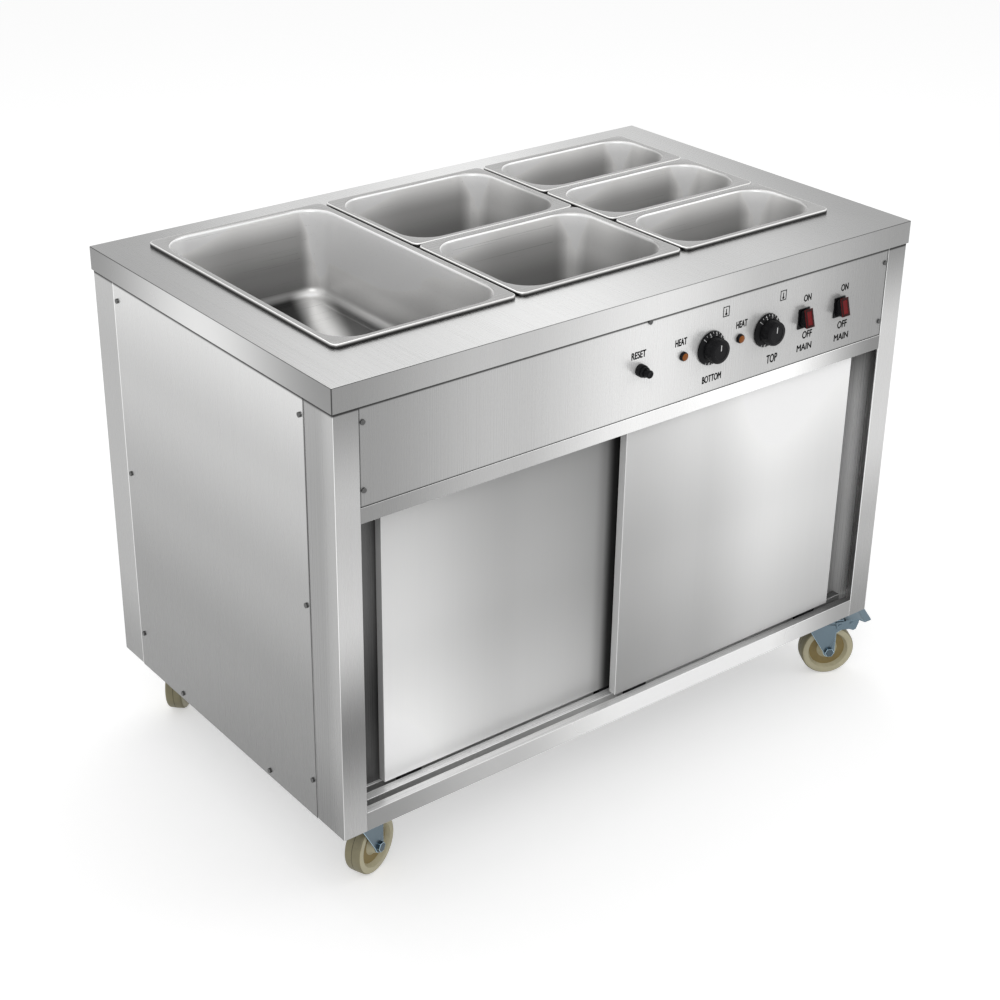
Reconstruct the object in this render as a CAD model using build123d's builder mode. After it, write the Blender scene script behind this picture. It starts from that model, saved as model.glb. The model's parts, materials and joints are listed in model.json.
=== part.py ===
# Mobile bain marie: heated pan well over a sliding door cupboard, on four swivel castors.
# Frame: origin on the floor under the centre of the cabinet, X to the right, Y to the back, Z up.
import os
from math import cos, radians, sin
from build123d import *

os.makedirs("parts", exist_ok=True)

# Overall sizes, millimetres
worktop_length = 1140
worktop_depth = 688
overall_height = 875
base_clearance = 137
worktop_edge = 38
worktop_overhang = 3

# Sheet metal
worktop_sheet = 1.5
frame_sheet = 1.5
panel_sheet = 1.2
bend_radius = 1.0
seam = 0.3

# Food pans and their well
bay_length = 325
bay_gap = 6
bay_count = 3
array_depth = 530
array_front_margin = 108
pan_depth = 150
pan_sheet = 1.0
pan_rim_height = 6
pan_rim_width = 13
pan_rim_corner = 12
pan_wall_corner = 50
pan_foot_fillet = 20
pan_draft = 4
pan_gap_in_bay = 3
rim_rest = 8
well_depth = 185
well_corner = 20
bar_width = 14
bar_height = 20

# Corner posts
post_face = 42
post_side = 70
joggle_length = 20
jamb_clearance = 1.3
jamb_width = 70
foot_length = 122
foot_depth = 96
foot_thickness = 3

# Rails, doors and tracks
bottom_rail_height = 33
bottom_lip = 20
groove_depth = 12
groove_width = 12
front_ledge = 15
middle_ledge = 16
rear_ledge = 17
top_rail_drop = 192
top_rail_height = 25
door_length = 500
door_thickness = 15
door_play = 1
door_lift = 6
door_lap = 14
left_door_offset = 106
right_door_offset = 546
glide_length = 40
glide_clearance = 0.3

# Castors
castor_side_inset = 68.5
castor_front_inset = 65
castor_back_inset = 50
castor_trail = 29
wheel_radius = 49
wheel_width = 30
axle_radius = 5
kingpin_radius = 6
running_fit = 0.05

# Controls, from the worktop's right edge and down from its top
control_drop = 116.5
reset_inset = 586
lamp_insets = (498, 378)
knob_insets = (441, 320)
switch_insets = (236, 153.5)
knob_radius = 28
knob_reach = 25
shaft_radius = 3
bushing_radius = 4.8
lamp_radius = 7.5
bezel_width = 25
bezel_height = 34.5

# Screws
screw_radius = 2
screw_head_radius = 4
screw_head_height = 2.2
screw_length = 9
screw_clearance = 0.1
side_screw_margin = 10
side_screw_drops = (69, 370, 674)
bottom_screw_rise = 9

# Planes of the cabinet
x_left = -worktop_length / 2
x_right = worktop_length / 2
y_front = -worktop_depth / 2
y_back = worktop_depth / 2
body_left = x_left + worktop_overhang
body_right = x_right - worktop_overhang
body_front = y_front + worktop_overhang
body_back = y_back - worktop_overhang
under_top = overall_height - worktop_sheet
rail_top = base_clearance + bottom_rail_height
header_bottom = overall_height - top_rail_drop - top_rail_height
header_top = overall_height - top_rail_drop
opening_left = body_left + post_face
opening_right = body_right - post_face
joggle = panel_sheet + seam
well_floor = overall_height - well_depth
control_height = overall_height - control_drop

# Food pan layout
bay_pitch = bay_length + bay_gap
array_length = bay_count * bay_length + (bay_count - 1) * bay_gap
array_front = y_front + array_front_margin
array_centre_y = array_front + array_depth / 2
cutout_length = array_length - 2 * rim_rest
cutout_depth = array_depth - 2 * rim_rest
bay_centres = [(i - (bay_count - 1) / 2) * bay_pitch for i in range(bay_count)]
bay_joints = [(i - (bay_count - 2) / 2) * bay_pitch for i in range(bay_count - 1)]

# Door tracks, measured back from the front of the posts
front_groove = front_ledge + groove_width / 2
rear_groove = front_ledge + groove_width * 1.5 + middle_ledge
track_depth = front_ledge + 2 * groove_width + middle_ledge + rear_ledge
jamb_depth = rear_groove + door_thickness / 2 + door_play + panel_sheet + jamb_clearance


def hand_over(part, name):
    """Label a finished piece and write it."""
    part.label = name
    export_step(part, f"parts/{name}.step")


def bent_sheet(plane, points, length, thickness=panel_sheet, side=Side.RIGHT):
    """Sheet folded along the points of a plane and run out along its normal."""
    with BuildPart() as piece:
        with BuildSketch(plane):
            with BuildLine():
                FilletPolyline(*points, radius=bend_radius)
                offset(amount=thickness, side=side)
            make_face()
        extrude(amount=length)
    return piece.part


# Worktop: a folded cap with the cutout for the pans
with BuildPart() as worktop:
    with BuildSketch(Plane.XY.offset(overall_height - worktop_edge)):
        Rectangle(worktop_length, worktop_depth)
    extrude(amount=worktop_edge)
    fillet(worktop.edges().filter_by(Axis.Z), worktop_sheet + bend_radius)
    fillet(worktop.faces().sort_by(Axis.Z)[-1].edges(), worktop_sheet)
    with BuildSketch(Plane.XY.offset(overall_height - worktop_edge)):
        RectangleRounded(
            worktop_length - 2 * worktop_sheet, worktop_depth - 2 * worktop_sheet, bend_radius
        )
    extrude(amount=worktop_edge - worktop_sheet, mode=Mode.SUBTRACT)
    with BuildSketch(Plane.XY.offset(overall_height)):
        with Locations((0, array_centre_y)):
            RectangleRounded(cutout_length, cutout_depth, well_corner)
    extrude(amount=-2 * worktop_sheet, mode=Mode.SUBTRACT)
hand_over(worktop.part, "worktop")

# Well tank, welded under the cutout
tank_clearance = 1
tank_length = cutout_length + 2 * tank_clearance
tank_depth = cutout_depth + 2 * tank_clearance
tank_sheet = 1.2
tank_flange = 14
drain_inset = 75
drain_x = -cutout_length / 2 + drain_inset
drain_y = array_centre_y + cutout_depth / 2 - drain_inset
drain_radius = 10.5
element_radius = 4
element_rise = 16
element_spacing = 110
element_pairs = 2
element_front = array_centre_y - cutout_depth / 2
element_ends = [
    (i - (2 * element_pairs - 1) / 2) * element_spacing for i in range(2 * element_pairs)
]
with BuildPart() as well_tank:
    with BuildSketch(Plane.XY.offset(under_top)):
        with Locations((0, array_centre_y)):
            RectangleRounded(
                tank_length + 2 * tank_sheet, tank_depth + 2 * tank_sheet, well_corner + tank_sheet
            )
    extrude(amount=-(under_top - well_floor + tank_sheet))
    fillet(well_tank.faces().sort_by(Axis.Z)[0].edges(), well_corner)
    offset(amount=-tank_sheet, openings=well_tank.faces().sort_by(Axis.Z)[-1])
    with BuildSketch(Plane.XY.offset(under_top)):
        with Locations((0, array_centre_y)):
            RectangleRounded(
                tank_length + 2 * tank_flange, tank_depth + 2 * tank_flange, well_corner + tank_flange
            )
            RectangleRounded(tank_length, tank_depth, well_corner, mode=Mode.SUBTRACT)
    extrude(amount=-tank_sheet)
    with BuildSketch(Plane.XY.offset(well_floor + tank_sheet)):
        with Locations((drain_x, drain_y)):
            Circle(drain_radius)
    extrude(amount=-4 * tank_sheet, mode=Mode.SUBTRACT)
    with BuildSketch(Plane.XZ.offset(-element_front + 2 * tank_sheet)):
        with Locations(*[(x, well_floor + element_rise) for x in element_ends[:1] + element_ends[-1:]]):
            Circle(element_radius + seam)
    extrude(amount=-6 * tank_sheet, mode=Mode.SUBTRACT)
hand_over(well_tank.part, "well_tank")

# Bars that carry the pan rims between the bays and between the smaller pans
small_rows = {1: 2, 2: 3}
bar_low = overall_height - bar_height
bars = []
for x in bay_joints:
    left = x - bar_width / 2
    right = x + bar_width / 2
    path = [(left, bar_low), (left, overall_height), (right, overall_height), (right, bar_low)]
    bars.append(bent_sheet(Plane.XZ.offset(-element_front), path, -cutout_depth))
for bay, rows in small_rows.items():
    start = bay_joints[bay - 1] + bar_width / 2
    stop = bay_joints[bay] - bar_width / 2 if bay < bay_count - 1 else cutout_length / 2
    for row in range(1, rows):
        near = array_front + array_depth * row / rows - bar_width / 2
        far = near + bar_width
        path = [(near, bar_low), (near, overall_height), (far, overall_height), (far, bar_low)]
        bars.append(bent_sheet(Plane.YZ.offset(start), path, stop - start))
with BuildPart() as pan_support_bars:
    for bar in bars:
        add(bar)
hand_over(pan_support_bars.part, "pan_support_bars")


def make_pan(name, centre, length, depth, corner):
    """Pressed food pan with a flat rim, its edge turned down to stand on the worktop."""
    rim_top = overall_height + pan_rim_height
    mouth_length = length - 2 * pan_rim_width
    mouth_depth = depth - 2 * pan_rim_width
    with BuildPart() as hollow:
        with BuildSketch(Plane.XY.offset(rim_top)):
            with Locations(centre):
                RectangleRounded(mouth_length, mouth_depth, corner - pan_sheet)
        extrude(amount=-pan_depth + pan_sheet, taper=pan_draft)
        fillet(hollow.faces().sort_by(Axis.Z)[0].edges(), pan_foot_fillet - pan_sheet)
    with BuildPart() as pan:
        with BuildSketch(Plane.XY.offset(rim_top)):
            with Locations(centre):
                RectangleRounded(mouth_length + 2 * pan_sheet, mouth_depth + 2 * pan_sheet, corner)
        extrude(amount=-pan_depth, taper=pan_draft)
        fillet(pan.faces().sort_by(Axis.Z)[0].edges(), pan_foot_fillet)
        with BuildSketch(Plane.XY.offset(overall_height)):
            with Locations(centre):
                RectangleRounded(length, depth, pan_rim_corner)
        extrude(amount=pan_rim_height)
        fillet(pan.faces().sort_by(Axis.Z)[-1].edges(), pan_rim_height / 3)
        with BuildSketch(Plane.XY.offset(overall_height)):
            with Locations(centre):
                RectangleRounded(
                    length - 2 * pan_sheet, depth - 2 * pan_sheet, pan_rim_corner - pan_sheet
                )
                RectangleRounded(
                    mouth_length + 2 * pan_sheet, mouth_depth + 2 * pan_sheet, corner, mode=Mode.SUBTRACT
                )
        extrude(amount=pan_rim_height - pan_sheet, mode=Mode.SUBTRACT)
        add(hollow.part, mode=Mode.SUBTRACT)
    hand_over(pan.part, name)


pan_names = {
    0: ["full_pan"],
    1: ["half_pan_front", "half_pan_rear"],
    2: ["third_pan_front", "third_pan_middle", "third_pan_rear"],
}
for bay, names in pan_names.items():
    row_pitch = array_depth / len(names)
    for row, name in enumerate(names):
        row_centre = (bay_centres[bay], array_front + row_pitch * (row + 0.5))
        row_depth = row_pitch - pan_gap_in_bay if len(names) > 1 else array_depth
        make_pan(name, row_centre, bay_length, row_depth, pan_wall_corner)

# Screws of the sheet metal body: positions in their panel planes
post_flange = 20
joggle_run = 2
panel_start = joggle_run + seam
back_post_side = 62
back_panel_inset = post_face + panel_start
side_panel_front = body_front + post_side + panel_start
side_panel_back = body_back - back_post_side - panel_start
side_panel_drop = 1.5
panel_hide = 7
panel_top = overall_height - panel_hide
bottom_screw_height = base_clearance + bottom_screw_rise
side_screw_heights = [overall_height - drop for drop in side_screw_drops]
side_screws = [
    (y, z)
    for y in (side_panel_front + side_screw_margin, side_panel_back - side_screw_margin)
    for z in side_screw_heights
]
side_span = side_panel_back - side_panel_front
side_screws += [(side_panel_front + side_span * share, bottom_screw_height) for share in (0.25, 0.75)]
back_panel_half = body_right - back_panel_inset
back_screws = [
    (x, z)
    for x in (-back_panel_half + side_screw_margin, back_panel_half - side_screw_margin)
    for z in side_screw_heights
]
back_screws += [(side * back_panel_half / 2, bottom_screw_height) for side in (-1, 1)]
panel_recess = 1
panel_face = body_front + panel_recess
panel_back = panel_face + panel_sheet
tab_reach = 18
control_screw_inset = 6
control_screw_heights = (overall_height - 63, overall_height - 166)
bracket_screw_height = overall_height - 43
control_screws = [
    (side * (opening_right - control_screw_inset), z) for side in (-1, 1) for z in control_screw_heights
]
control_screws += [(0, bracket_screw_height)]
hole_radius = screw_radius + screw_clearance
hole_reach = 8


def hole_pins(plane, places, radius=hole_radius):
    """Round pins that cut the holes for screws through the sheets at one face."""
    with BuildPart() as pins:
        with BuildSketch(plane.offset(hole_reach)):
            with Locations(*places):
                Circle(radius)
        extrude(amount=-2 * hole_reach)
    return pins.part


# The planes' own left runs to the right or the back, and up is up
left_face = Plane.YZ.offset(body_left)
right_face = Plane.YZ.offset(body_right)
front_face = Plane.XZ.offset(-panel_face)
back_face = Plane.XZ.offset(-body_back)
side_pins = hole_pins(left_face, side_screws) + hole_pins(right_face, side_screws)
back_pins = hole_pins(back_face, back_screws)
control_pins = hole_pins(front_face, control_screws)

# Castor mounting, under the foot plates of the posts
castor_places = {
    "front_left": (x_left + castor_side_inset, y_front + castor_front_inset, 21),
    "front_right": (x_right - castor_side_inset, y_front + castor_front_inset, -29),
    "back_left": (x_left + castor_side_inset, y_back - castor_back_inset, 45),
    "back_right": (x_right - castor_side_inset, y_back - castor_back_inset, 200),
}
plate_length = 92
plate_depth = 64
plate_thickness = 2.5
plate_margin = 10
bolt_radius = 4
bolt_hole_radius = 4.3
bolt_head_radius = 7
bolt_head_height = 5
bolt_places = [
    (x + i * (plate_length / 2 - plate_margin), y + j * (plate_depth / 2 - plate_margin))
    for x, y, heading in castor_places.values()
    for i in (-1, 1)
    for j in (-1, 1)
]
with BuildPart() as bolt_cutters:
    with BuildSketch(Plane.XY.offset(base_clearance - hole_reach)):
        with Locations(*bolt_places):
            Circle(bolt_hole_radius)
    extrude(amount=2 * hole_reach)

# Corner posts, folded from sheet, with a foot plate for the castor
front_flange_end = post_side + joggle_run + post_flange
back_flange_end = back_post_side + joggle_run + post_flange
front_path = [
    (joggle, front_flange_end),
    (joggle, post_side + joggle_run),
    (0, post_side),
    (0, 0),
    (post_face, 0),
    (post_face, jamb_depth),
    (post_face + jamb_width, jamb_depth),
]
back_path = [
    (joggle, back_flange_end),
    (joggle, back_post_side + joggle_run),
    (0, back_post_side),
    (0, 0),
    (post_face, 0),
    (post_face + joggle_run, joggle),
    (post_face + joggle_run + post_flange, joggle),
]
foot_overlap = 0.1


def make_post(name, path, corner_x, corner_y, across, along, foot_near):
    """Corner post: across is +1 on the left side, along is +1 at the front."""
    points = [(corner_x + across * x, corner_y + along * y) for x, y in path]
    fold = Side.LEFT if across * along > 0 else Side.RIGHT
    height = under_top - base_clearance
    folded = bent_sheet(Plane.XY.offset(base_clearance), points, height, frame_sheet, fold)
    foot_left = frame_sheet - foot_overlap
    with BuildPart() as post:
        add(folded)
        if along > 0:
            jamb_x = corner_x + across * (post_face + jamb_width)
            jamb_y = corner_y + along * jamb_depth
            low_cut = rail_top - base_clearance
            high_cut = under_top - header_top
            with Locations((jamb_x, jamb_y, base_clearance + low_cut / 2)):
                Box(2 * jamb_width, jamb_depth / 2, low_cut, mode=Mode.SUBTRACT)
            with Locations((jamb_x, jamb_y, header_top + high_cut / 2)):
                Box(2 * jamb_width, jamb_depth / 2, high_cut, mode=Mode.SUBTRACT)
            tab_x = corner_x + across * (post_face + tab_reach / 2 - frame_sheet / 2)
            tab_height = panel_top - header_top - 2 * panel_hide
            with Locations((tab_x, panel_back + frame_sheet / 2, (panel_top + header_top) / 2)):
                Box(tab_reach + frame_sheet, frame_sheet, tab_height)
        foot_x = corner_x + across * (foot_left + foot_length) / 2
        foot_y = corner_y + along * (foot_near + foot_depth / 2)
        with Locations((foot_x, foot_y, base_clearance + foot_thickness / 2)):
            Box(foot_length - foot_left, foot_depth, foot_thickness)
        add(side_pins, mode=Mode.SUBTRACT)
        add(back_pins, mode=Mode.SUBTRACT)
        add(control_pins, mode=Mode.SUBTRACT)
        add(bolt_cutters.part, mode=Mode.SUBTRACT)
    hand_over(post.part, name)


foot_gap = 2
front_foot = bottom_lip + foot_gap
back_foot = frame_sheet - foot_overlap
make_post("front_left_post", front_path, body_left, body_front, 1, 1, front_foot)
make_post("front_right_post", front_path, body_right, body_front, -1, 1, front_foot)
make_post("back_left_post", back_path, body_left, body_back, 1, -1, back_foot)
make_post("back_right_post", back_path, body_right, body_back, -1, -1, back_foot)

# Flat panels of the sides and the back
side_height = panel_top - base_clearance + side_panel_drop
for name, edge in (("left_side_panel", body_left), ("right_side_panel", body_right - panel_sheet)):
    with BuildPart() as side_panel:
        with Locations((edge, side_panel_front, base_clearance - side_panel_drop)):
            Box(panel_sheet, side_span, side_height, align=(Align.MIN, Align.MIN, Align.MIN))
        add(side_pins, mode=Mode.SUBTRACT)
    hand_over(side_panel.part, name)

gland_inset = 130
gland_drop = 145
gland_x = body_right - gland_inset
gland_z = overall_height - gland_drop
gland_body_radius = 10
with BuildPart() as back_panel:
    with Locations((0, body_back, base_clearance)):
        Box(
            2 * back_panel_half,
            panel_sheet,
            panel_top - base_clearance,
            align=(Align.CENTER, Align.MAX, Align.MIN),
        )
    add(back_pins, mode=Mode.SUBTRACT)
    with BuildSketch(back_face.offset(-hole_reach)):
        with Locations((gland_x, gland_z)):
            Circle(gland_body_radius + seam)
    extrude(amount=2 * hole_reach, mode=Mode.SUBTRACT)
hand_over(back_panel.part, "back_panel")

# Bottom front rail with the two door grooves
ledges = [front_ledge, groove_width, middle_ledge, groove_width, rear_ledge]
edges_y = [body_front + sum(ledges[: i + 1]) for i in range(5)]
groove_floor = rail_top - groove_depth
bottom_path = [
    (body_front + bottom_lip, base_clearance),
    (body_front, base_clearance),
    (body_front, rail_top),
    (edges_y[0], rail_top),
    (edges_y[0], groove_floor),
    (edges_y[1], groove_floor),
    (edges_y[1], rail_top),
    (edges_y[2], rail_top),
    (edges_y[2], groove_floor),
    (edges_y[3], groove_floor),
    (edges_y[3], rail_top),
    (edges_y[4], rail_top),
]
opening_span = opening_right - opening_left
across_opening = Plane.YZ.offset(opening_left)
bottom_front_rail = bent_sheet(across_opening, bottom_path, opening_span)
hand_over(bottom_front_rail, "bottom_front_rail")

# Top front rail with the two channels that hold the doors upright
front_door_y = body_front + front_groove
rear_door_y = body_front + rear_groove
channel_half = door_thickness / 2 + door_play
channel_drop = 6
lip_height = 8
rear_lip_height = 2
channel_floor = header_bottom + channel_drop
lip_top = header_bottom + lip_height
front_channel = (front_door_y - channel_half, front_door_y + channel_half + panel_sheet)
rear_channel = (rear_door_y - channel_half - panel_sheet, rear_door_y + channel_half + panel_sheet)
top_path = [
    (front_channel[0], lip_top),
    (front_channel[0], header_bottom),
    (body_front, header_bottom),
    (body_front, header_top),
    (front_channel[1], header_top),
    (front_channel[1], channel_floor),
    (rear_channel[0], channel_floor),
    (rear_channel[0], header_top),
    (rear_channel[1], header_top),
    (rear_channel[1], header_bottom + rear_lip_height),
]
top_front_rail = bent_sheet(across_opening, top_path, opening_span)
hand_over(top_front_rail, "top_front_rail")

# Rails round the base and under the ceiling of the cupboard
side_return = 40
back_return = 20
low_return = 12
side_rail_start = body_front + front_flange_end + seam
side_rail_length = body_back - back_flange_end - seam - side_rail_start
back_rail_half = body_right - post_face - joggle_run - post_flange - seam
base_rail_bottom = base_clearance + foot_thickness


def rail_loop(low, high):
    """Three folded rails: left, right and back, open towards the middle."""
    pieces = []
    for side in (-1, 1):
        web = side * (body_right - panel_sheet)
        path = [
            (web - side * low_return, low),
            (web, low),
            (web, high),
            (web - side * side_return, high),
        ]
        fold = Side.RIGHT if side < 0 else Side.LEFT
        plane = Plane.XZ.offset(-side_rail_start)
        pieces.append(bent_sheet(plane, path, -side_rail_length, panel_sheet, fold))
    web = body_back - panel_sheet
    path = [(web - low_return, low), (web, low), (web, high), (web - back_return, high)]
    plane = Plane.YZ.offset(-back_rail_half)
    pieces.append(bent_sheet(plane, path, 2 * back_rail_half, panel_sheet, Side.LEFT))
    return pieces


ceiling_rail_drop = 30
rail_pieces = rail_loop(base_rail_bottom, rail_top)
rail_pieces += rail_loop(header_top - ceiling_rail_drop, header_top)
with BuildPart() as body_rails:
    for piece in rail_pieces:
        add(piece)
    add(side_pins, mode=Mode.SUBTRACT)
    add(back_pins, mode=Mode.SUBTRACT)
hand_over(body_rails.part, "body_rails")

# Sheets that close the cupboard below and above
sheet_margin = 5
sheet_front = edges_y[4] - rear_ledge / 2
ceiling_setback = 14
ceiling_front = body_front + ceiling_setback
tap_clearance_radius = 24
sheet_half = body_right - sheet_margin
sheet_back = body_back - sheet_margin
with BuildPart() as cupboard_floor:
    with Locations((0, sheet_front, rail_top)):
        Box(
            2 * sheet_half,
            sheet_back - sheet_front,
            panel_sheet,
            align=(Align.CENTER, Align.MIN, Align.MIN),
        )
hand_over(cupboard_floor.part, "cupboard_floor")

with BuildPart() as cupboard_ceiling:
    with Locations((0, body_front + jamb_depth + frame_sheet + seam, header_top)):
        Box(
            2 * sheet_half,
            sheet_back - body_front - jamb_depth - frame_sheet - seam,
            panel_sheet,
            align=(Align.CENTER, Align.MIN, Align.MIN),
        )
    with Locations((0, ceiling_front, header_top)):
        Box(
            2 * (opening_right - seam),
            jamb_depth,
            panel_sheet,
            align=(Align.CENTER, Align.MIN, Align.MIN),
        )
    with BuildSketch(Plane.XY.offset(header_top)):
        with Locations((drain_x, drain_y)):
            Circle(tap_clearance_radius)
    extrude(amount=panel_sheet, mode=Mode.SUBTRACT)
hand_over(cupboard_ceiling.part, "cupboard_ceiling")

# Perforated cover over the cupboard's heating element
floor_top = rail_top + panel_sheet
cover_side_margin = 60
cover_front_margin = 82
cover_back_margin = 30
cover_half = body_right - cover_side_margin
cover_front = body_front + cover_front_margin
cover_depth = body_back - cover_back_margin - cover_front
cover_height = 42
cover_path = [
    (-cover_half, floor_top),
    (-cover_half, floor_top + cover_height),
    (cover_half, floor_top + cover_height),
    (cover_half, floor_top),
]
slot_length = 44
slot_width = 8
slot_columns = 12
slot_rows = 7
heater_cover_sheet = bent_sheet(Plane.XZ.offset(-cover_front), cover_path, -cover_depth)
with BuildPart() as heater_cover:
    add(heater_cover_sheet)
    with BuildSketch(Plane.XY.offset(floor_top + cover_height)):
        with Locations((0, cover_front + cover_depth / 2)):
            with GridLocations(
                2 * cover_half / slot_columns, cover_depth / slot_rows, slot_columns, slot_rows
            ):
                SlotOverall(slot_length, slot_width)
    extrude(amount=-2 * panel_sheet, mode=Mode.SUBTRACT)
hand_over(heater_cover.part, "heater_cover")

# Heating element of the cupboard, a looped rod on four stands
loop_side_margin = 60
loop_depth_margin = 70
loop_bend = 30
loop_rise = 18
stand_width = 10
stand_share = 0.6
loop_half = cover_half - loop_side_margin
loop_near = cover_front + loop_depth_margin
loop_far = cover_front + cover_depth - loop_depth_margin
cupboard_element_z = floor_top + loop_rise
stand_shift = loop_half * stand_share
loop_path = [
    (loop_half, loop_near, cupboard_element_z),
    (-loop_half, loop_near, cupboard_element_z),
    (-loop_half, loop_far, cupboard_element_z),
    (loop_half, loop_far, cupboard_element_z),
]
with BuildPart() as cupboard_element:
    with BuildLine():
        FilletPolyline(*loop_path, radius=loop_bend)
    with BuildSketch(Plane.YZ.offset(loop_half)):
        with Locations((loop_near, cupboard_element_z)):
            Circle(element_radius)
    sweep()
    with Locations(
        *[(side * stand_shift, y, floor_top) for side in (-1, 1) for y in (loop_near, loop_far)]
    ):
        Box(
            stand_width,
            stand_width,
            cupboard_element_z - floor_top,
            align=(Align.CENTER, Align.CENTER, Align.MIN),
        )
hand_over(cupboard_element.part, "cupboard_heating_element")

# Heating element of the well, its ends led out through the front wall of the tank
element_margin = 60
well_element_z = well_floor + element_rise
element_near = element_front + element_margin
element_far = element_front + cutout_depth - element_margin
tank_front = array_centre_y - tank_depth / 2 - tank_sheet
terminal_reach = 22
gland_ring = 4
gland_ring_radius = 9
serpentine = []
for i, x in enumerate(element_ends):
    outgoing = element_far if i % 2 == 0 else element_near
    incoming = element_near if i % 2 == 0 else element_far
    serpentine += [(x, incoming, well_element_z), (x, outgoing, well_element_z)]
serpentine[0] = (element_ends[0], tank_front - terminal_reach, well_element_z)
serpentine[-1] = (element_ends[-1], tank_front - terminal_reach, well_element_z)
with BuildPart() as well_element:
    with BuildLine():
        FilletPolyline(*serpentine, radius=loop_bend)
    with BuildSketch(Plane.XZ.offset(-(tank_front - terminal_reach))):
        with Locations((element_ends[0], well_element_z)):
            Circle(element_radius)
    sweep()
    with BuildSketch(Plane.XZ.offset(-tank_front)):
        with Locations(*[(x, well_element_z) for x in (element_ends[0], element_ends[-1])]):
            Circle(gland_ring_radius)
    extrude(amount=gland_ring)
hand_over(well_element.part, "well_heating_element")

# Control panel with its openings, and the bracket that holds its middle screw
reset_x = x_right - reset_inset
lamp_x = [x_right - inset for inset in lamp_insets]
knob_x = [x_right - inset for inset in knob_insets]
switch_x = [x_right - inset for inset in switch_insets]
reset_shaft_radius = 6
lamp_shank_radius = 6
panel_lift = 0.6
panel_bottom = header_top + panel_lift
panel_return = 10
cutout_width = 22
cutout_height = 29
with BuildPart() as control_panel:
    with Locations((0, panel_face, panel_bottom)):
        Box(
            2 * (opening_right - seam),
            panel_sheet,
            panel_top - panel_bottom,
            align=(Align.CENTER, Align.MIN, Align.MIN),
        )
    with Locations((0, panel_face, panel_bottom)):
        Box(
            2 * (opening_right - seam),
            panel_return,
            panel_sheet,
            align=(Align.CENTER, Align.MIN, Align.MIN),
        )
    with BuildSketch(front_face.offset(hole_reach)):
        with Locations((reset_x, control_height)):
            Circle(reset_shaft_radius + seam)
        with Locations(*[(x, control_height) for x in lamp_x]):
            Circle(lamp_shank_radius + seam)
        with Locations(*[(x, control_height) for x in knob_x]):
            Circle(bushing_radius + seam)
        with Locations(*[(x, control_height) for x in switch_x]):
            Rectangle(cutout_width + 2 * seam, cutout_height + 2 * seam)
    extrude(amount=-2 * hole_reach, mode=Mode.SUBTRACT)
    add(control_pins, mode=Mode.SUBTRACT)
hand_over(control_panel.part, "control_panel")

bracket_width = 26
bracket_drop = 22
bracket_path = [
    (panel_back, bracket_screw_height - bracket_drop / 2),
    (panel_back, under_top),
    (panel_back + 2 * bracket_drop, under_top),
]
bracket_sheet = bent_sheet(
    Plane.YZ.offset(-bracket_width / 2), bracket_path, bracket_width, frame_sheet, Side.RIGHT
)
with BuildPart() as panel_bracket:
    add(bracket_sheet)
    add(control_pins, mode=Mode.SUBTRACT)
hand_over(panel_bracket.part, "panel_bracket")

# Thermostats behind the panel, with bored bushings for the knob shafts
thermostat_size = 44
thermostat_depth = 30
bushing_reach = 0.4
shaft_bore = shaft_radius + running_fit
shaft_depth = 18
bore_spare = 2
knob_stand_off = 1
with BuildPart() as thermostats:
    with Locations(*[(x, panel_back, control_height) for x in knob_x]):
        Box(
            thermostat_size,
            thermostat_depth,
            thermostat_size,
            align=(Align.CENTER, Align.MIN, Align.CENTER),
        )
    with BuildSketch(Plane.XZ.offset(-panel_back)):
        with Locations(*[(x, control_height) for x in knob_x]):
            Circle(bushing_radius)
    extrude(amount=panel_sheet + bushing_reach)
    with BuildSketch(Plane.XZ.offset(-(panel_face - bushing_reach))):
        with Locations(*[(x, control_height) for x in knob_x]):
            Circle(shaft_bore)
    extrude(amount=-(shaft_depth + bore_spare), mode=Mode.SUBTRACT)
hand_over(thermostats.part, "thermostats")

# Knobs: a dial skirt, a lobed cap and a shaft
skirt_thickness = 5
skirt_chamfer = 2
cap_radius = 21
cap_lobes = 8
lobe_radius = 6
lobe_bite = 2.4
skirt_back = panel_face - knob_stand_off
knob_front = panel_face - knob_reach
cap_round = 1
for name, x in (("bottom_knob", knob_x[0]), ("top_knob", knob_x[1])):
    with BuildPart() as knob:
        with BuildSketch(Plane.XZ.offset(-skirt_back)):
            with Locations((x, control_height)):
                Circle(knob_radius)
        extrude(amount=skirt_thickness)
        chamfer(knob.faces().sort_by(Axis.Y)[0].edges(), skirt_chamfer)
        with BuildSketch(Plane.XZ.offset(-(skirt_back - skirt_thickness))):
            with Locations((x, control_height)):
                Circle(cap_radius)
                with PolarLocations(cap_radius + lobe_radius - lobe_bite, cap_lobes):
                    Circle(lobe_radius, mode=Mode.SUBTRACT)
        extrude(amount=skirt_back - skirt_thickness - knob_front)
        fillet(knob.faces().sort_by(Axis.Y)[0].edges(), cap_round)
        with BuildSketch(Plane.XZ.offset(-skirt_back)):
            with Locations((x, control_height)):
                Circle(shaft_radius)
        extrude(amount=-(knob_stand_off + shaft_depth))
    hand_over(knob.part, name)

# Indicator lamps, each a domed lens on a shank through the panel
lens_height = 7
lens_round = 5
shank_length = 24
with BuildPart() as lamps:
    with BuildSketch(front_face):
        with Locations(*[(x, control_height) for x in lamp_x]):
            Circle(lamp_radius)
    extrude(amount=lens_height)
    fillet(lamps.faces().sort_by(Axis.Y)[:2].edges(), lens_round)
    with BuildSketch(front_face):
        with Locations(*[(x, control_height) for x in lamp_x]):
            Circle(lamp_shank_radius)
    extrude(amount=-shank_length)
hand_over(lamps.part, "indicator_lamps")

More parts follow.
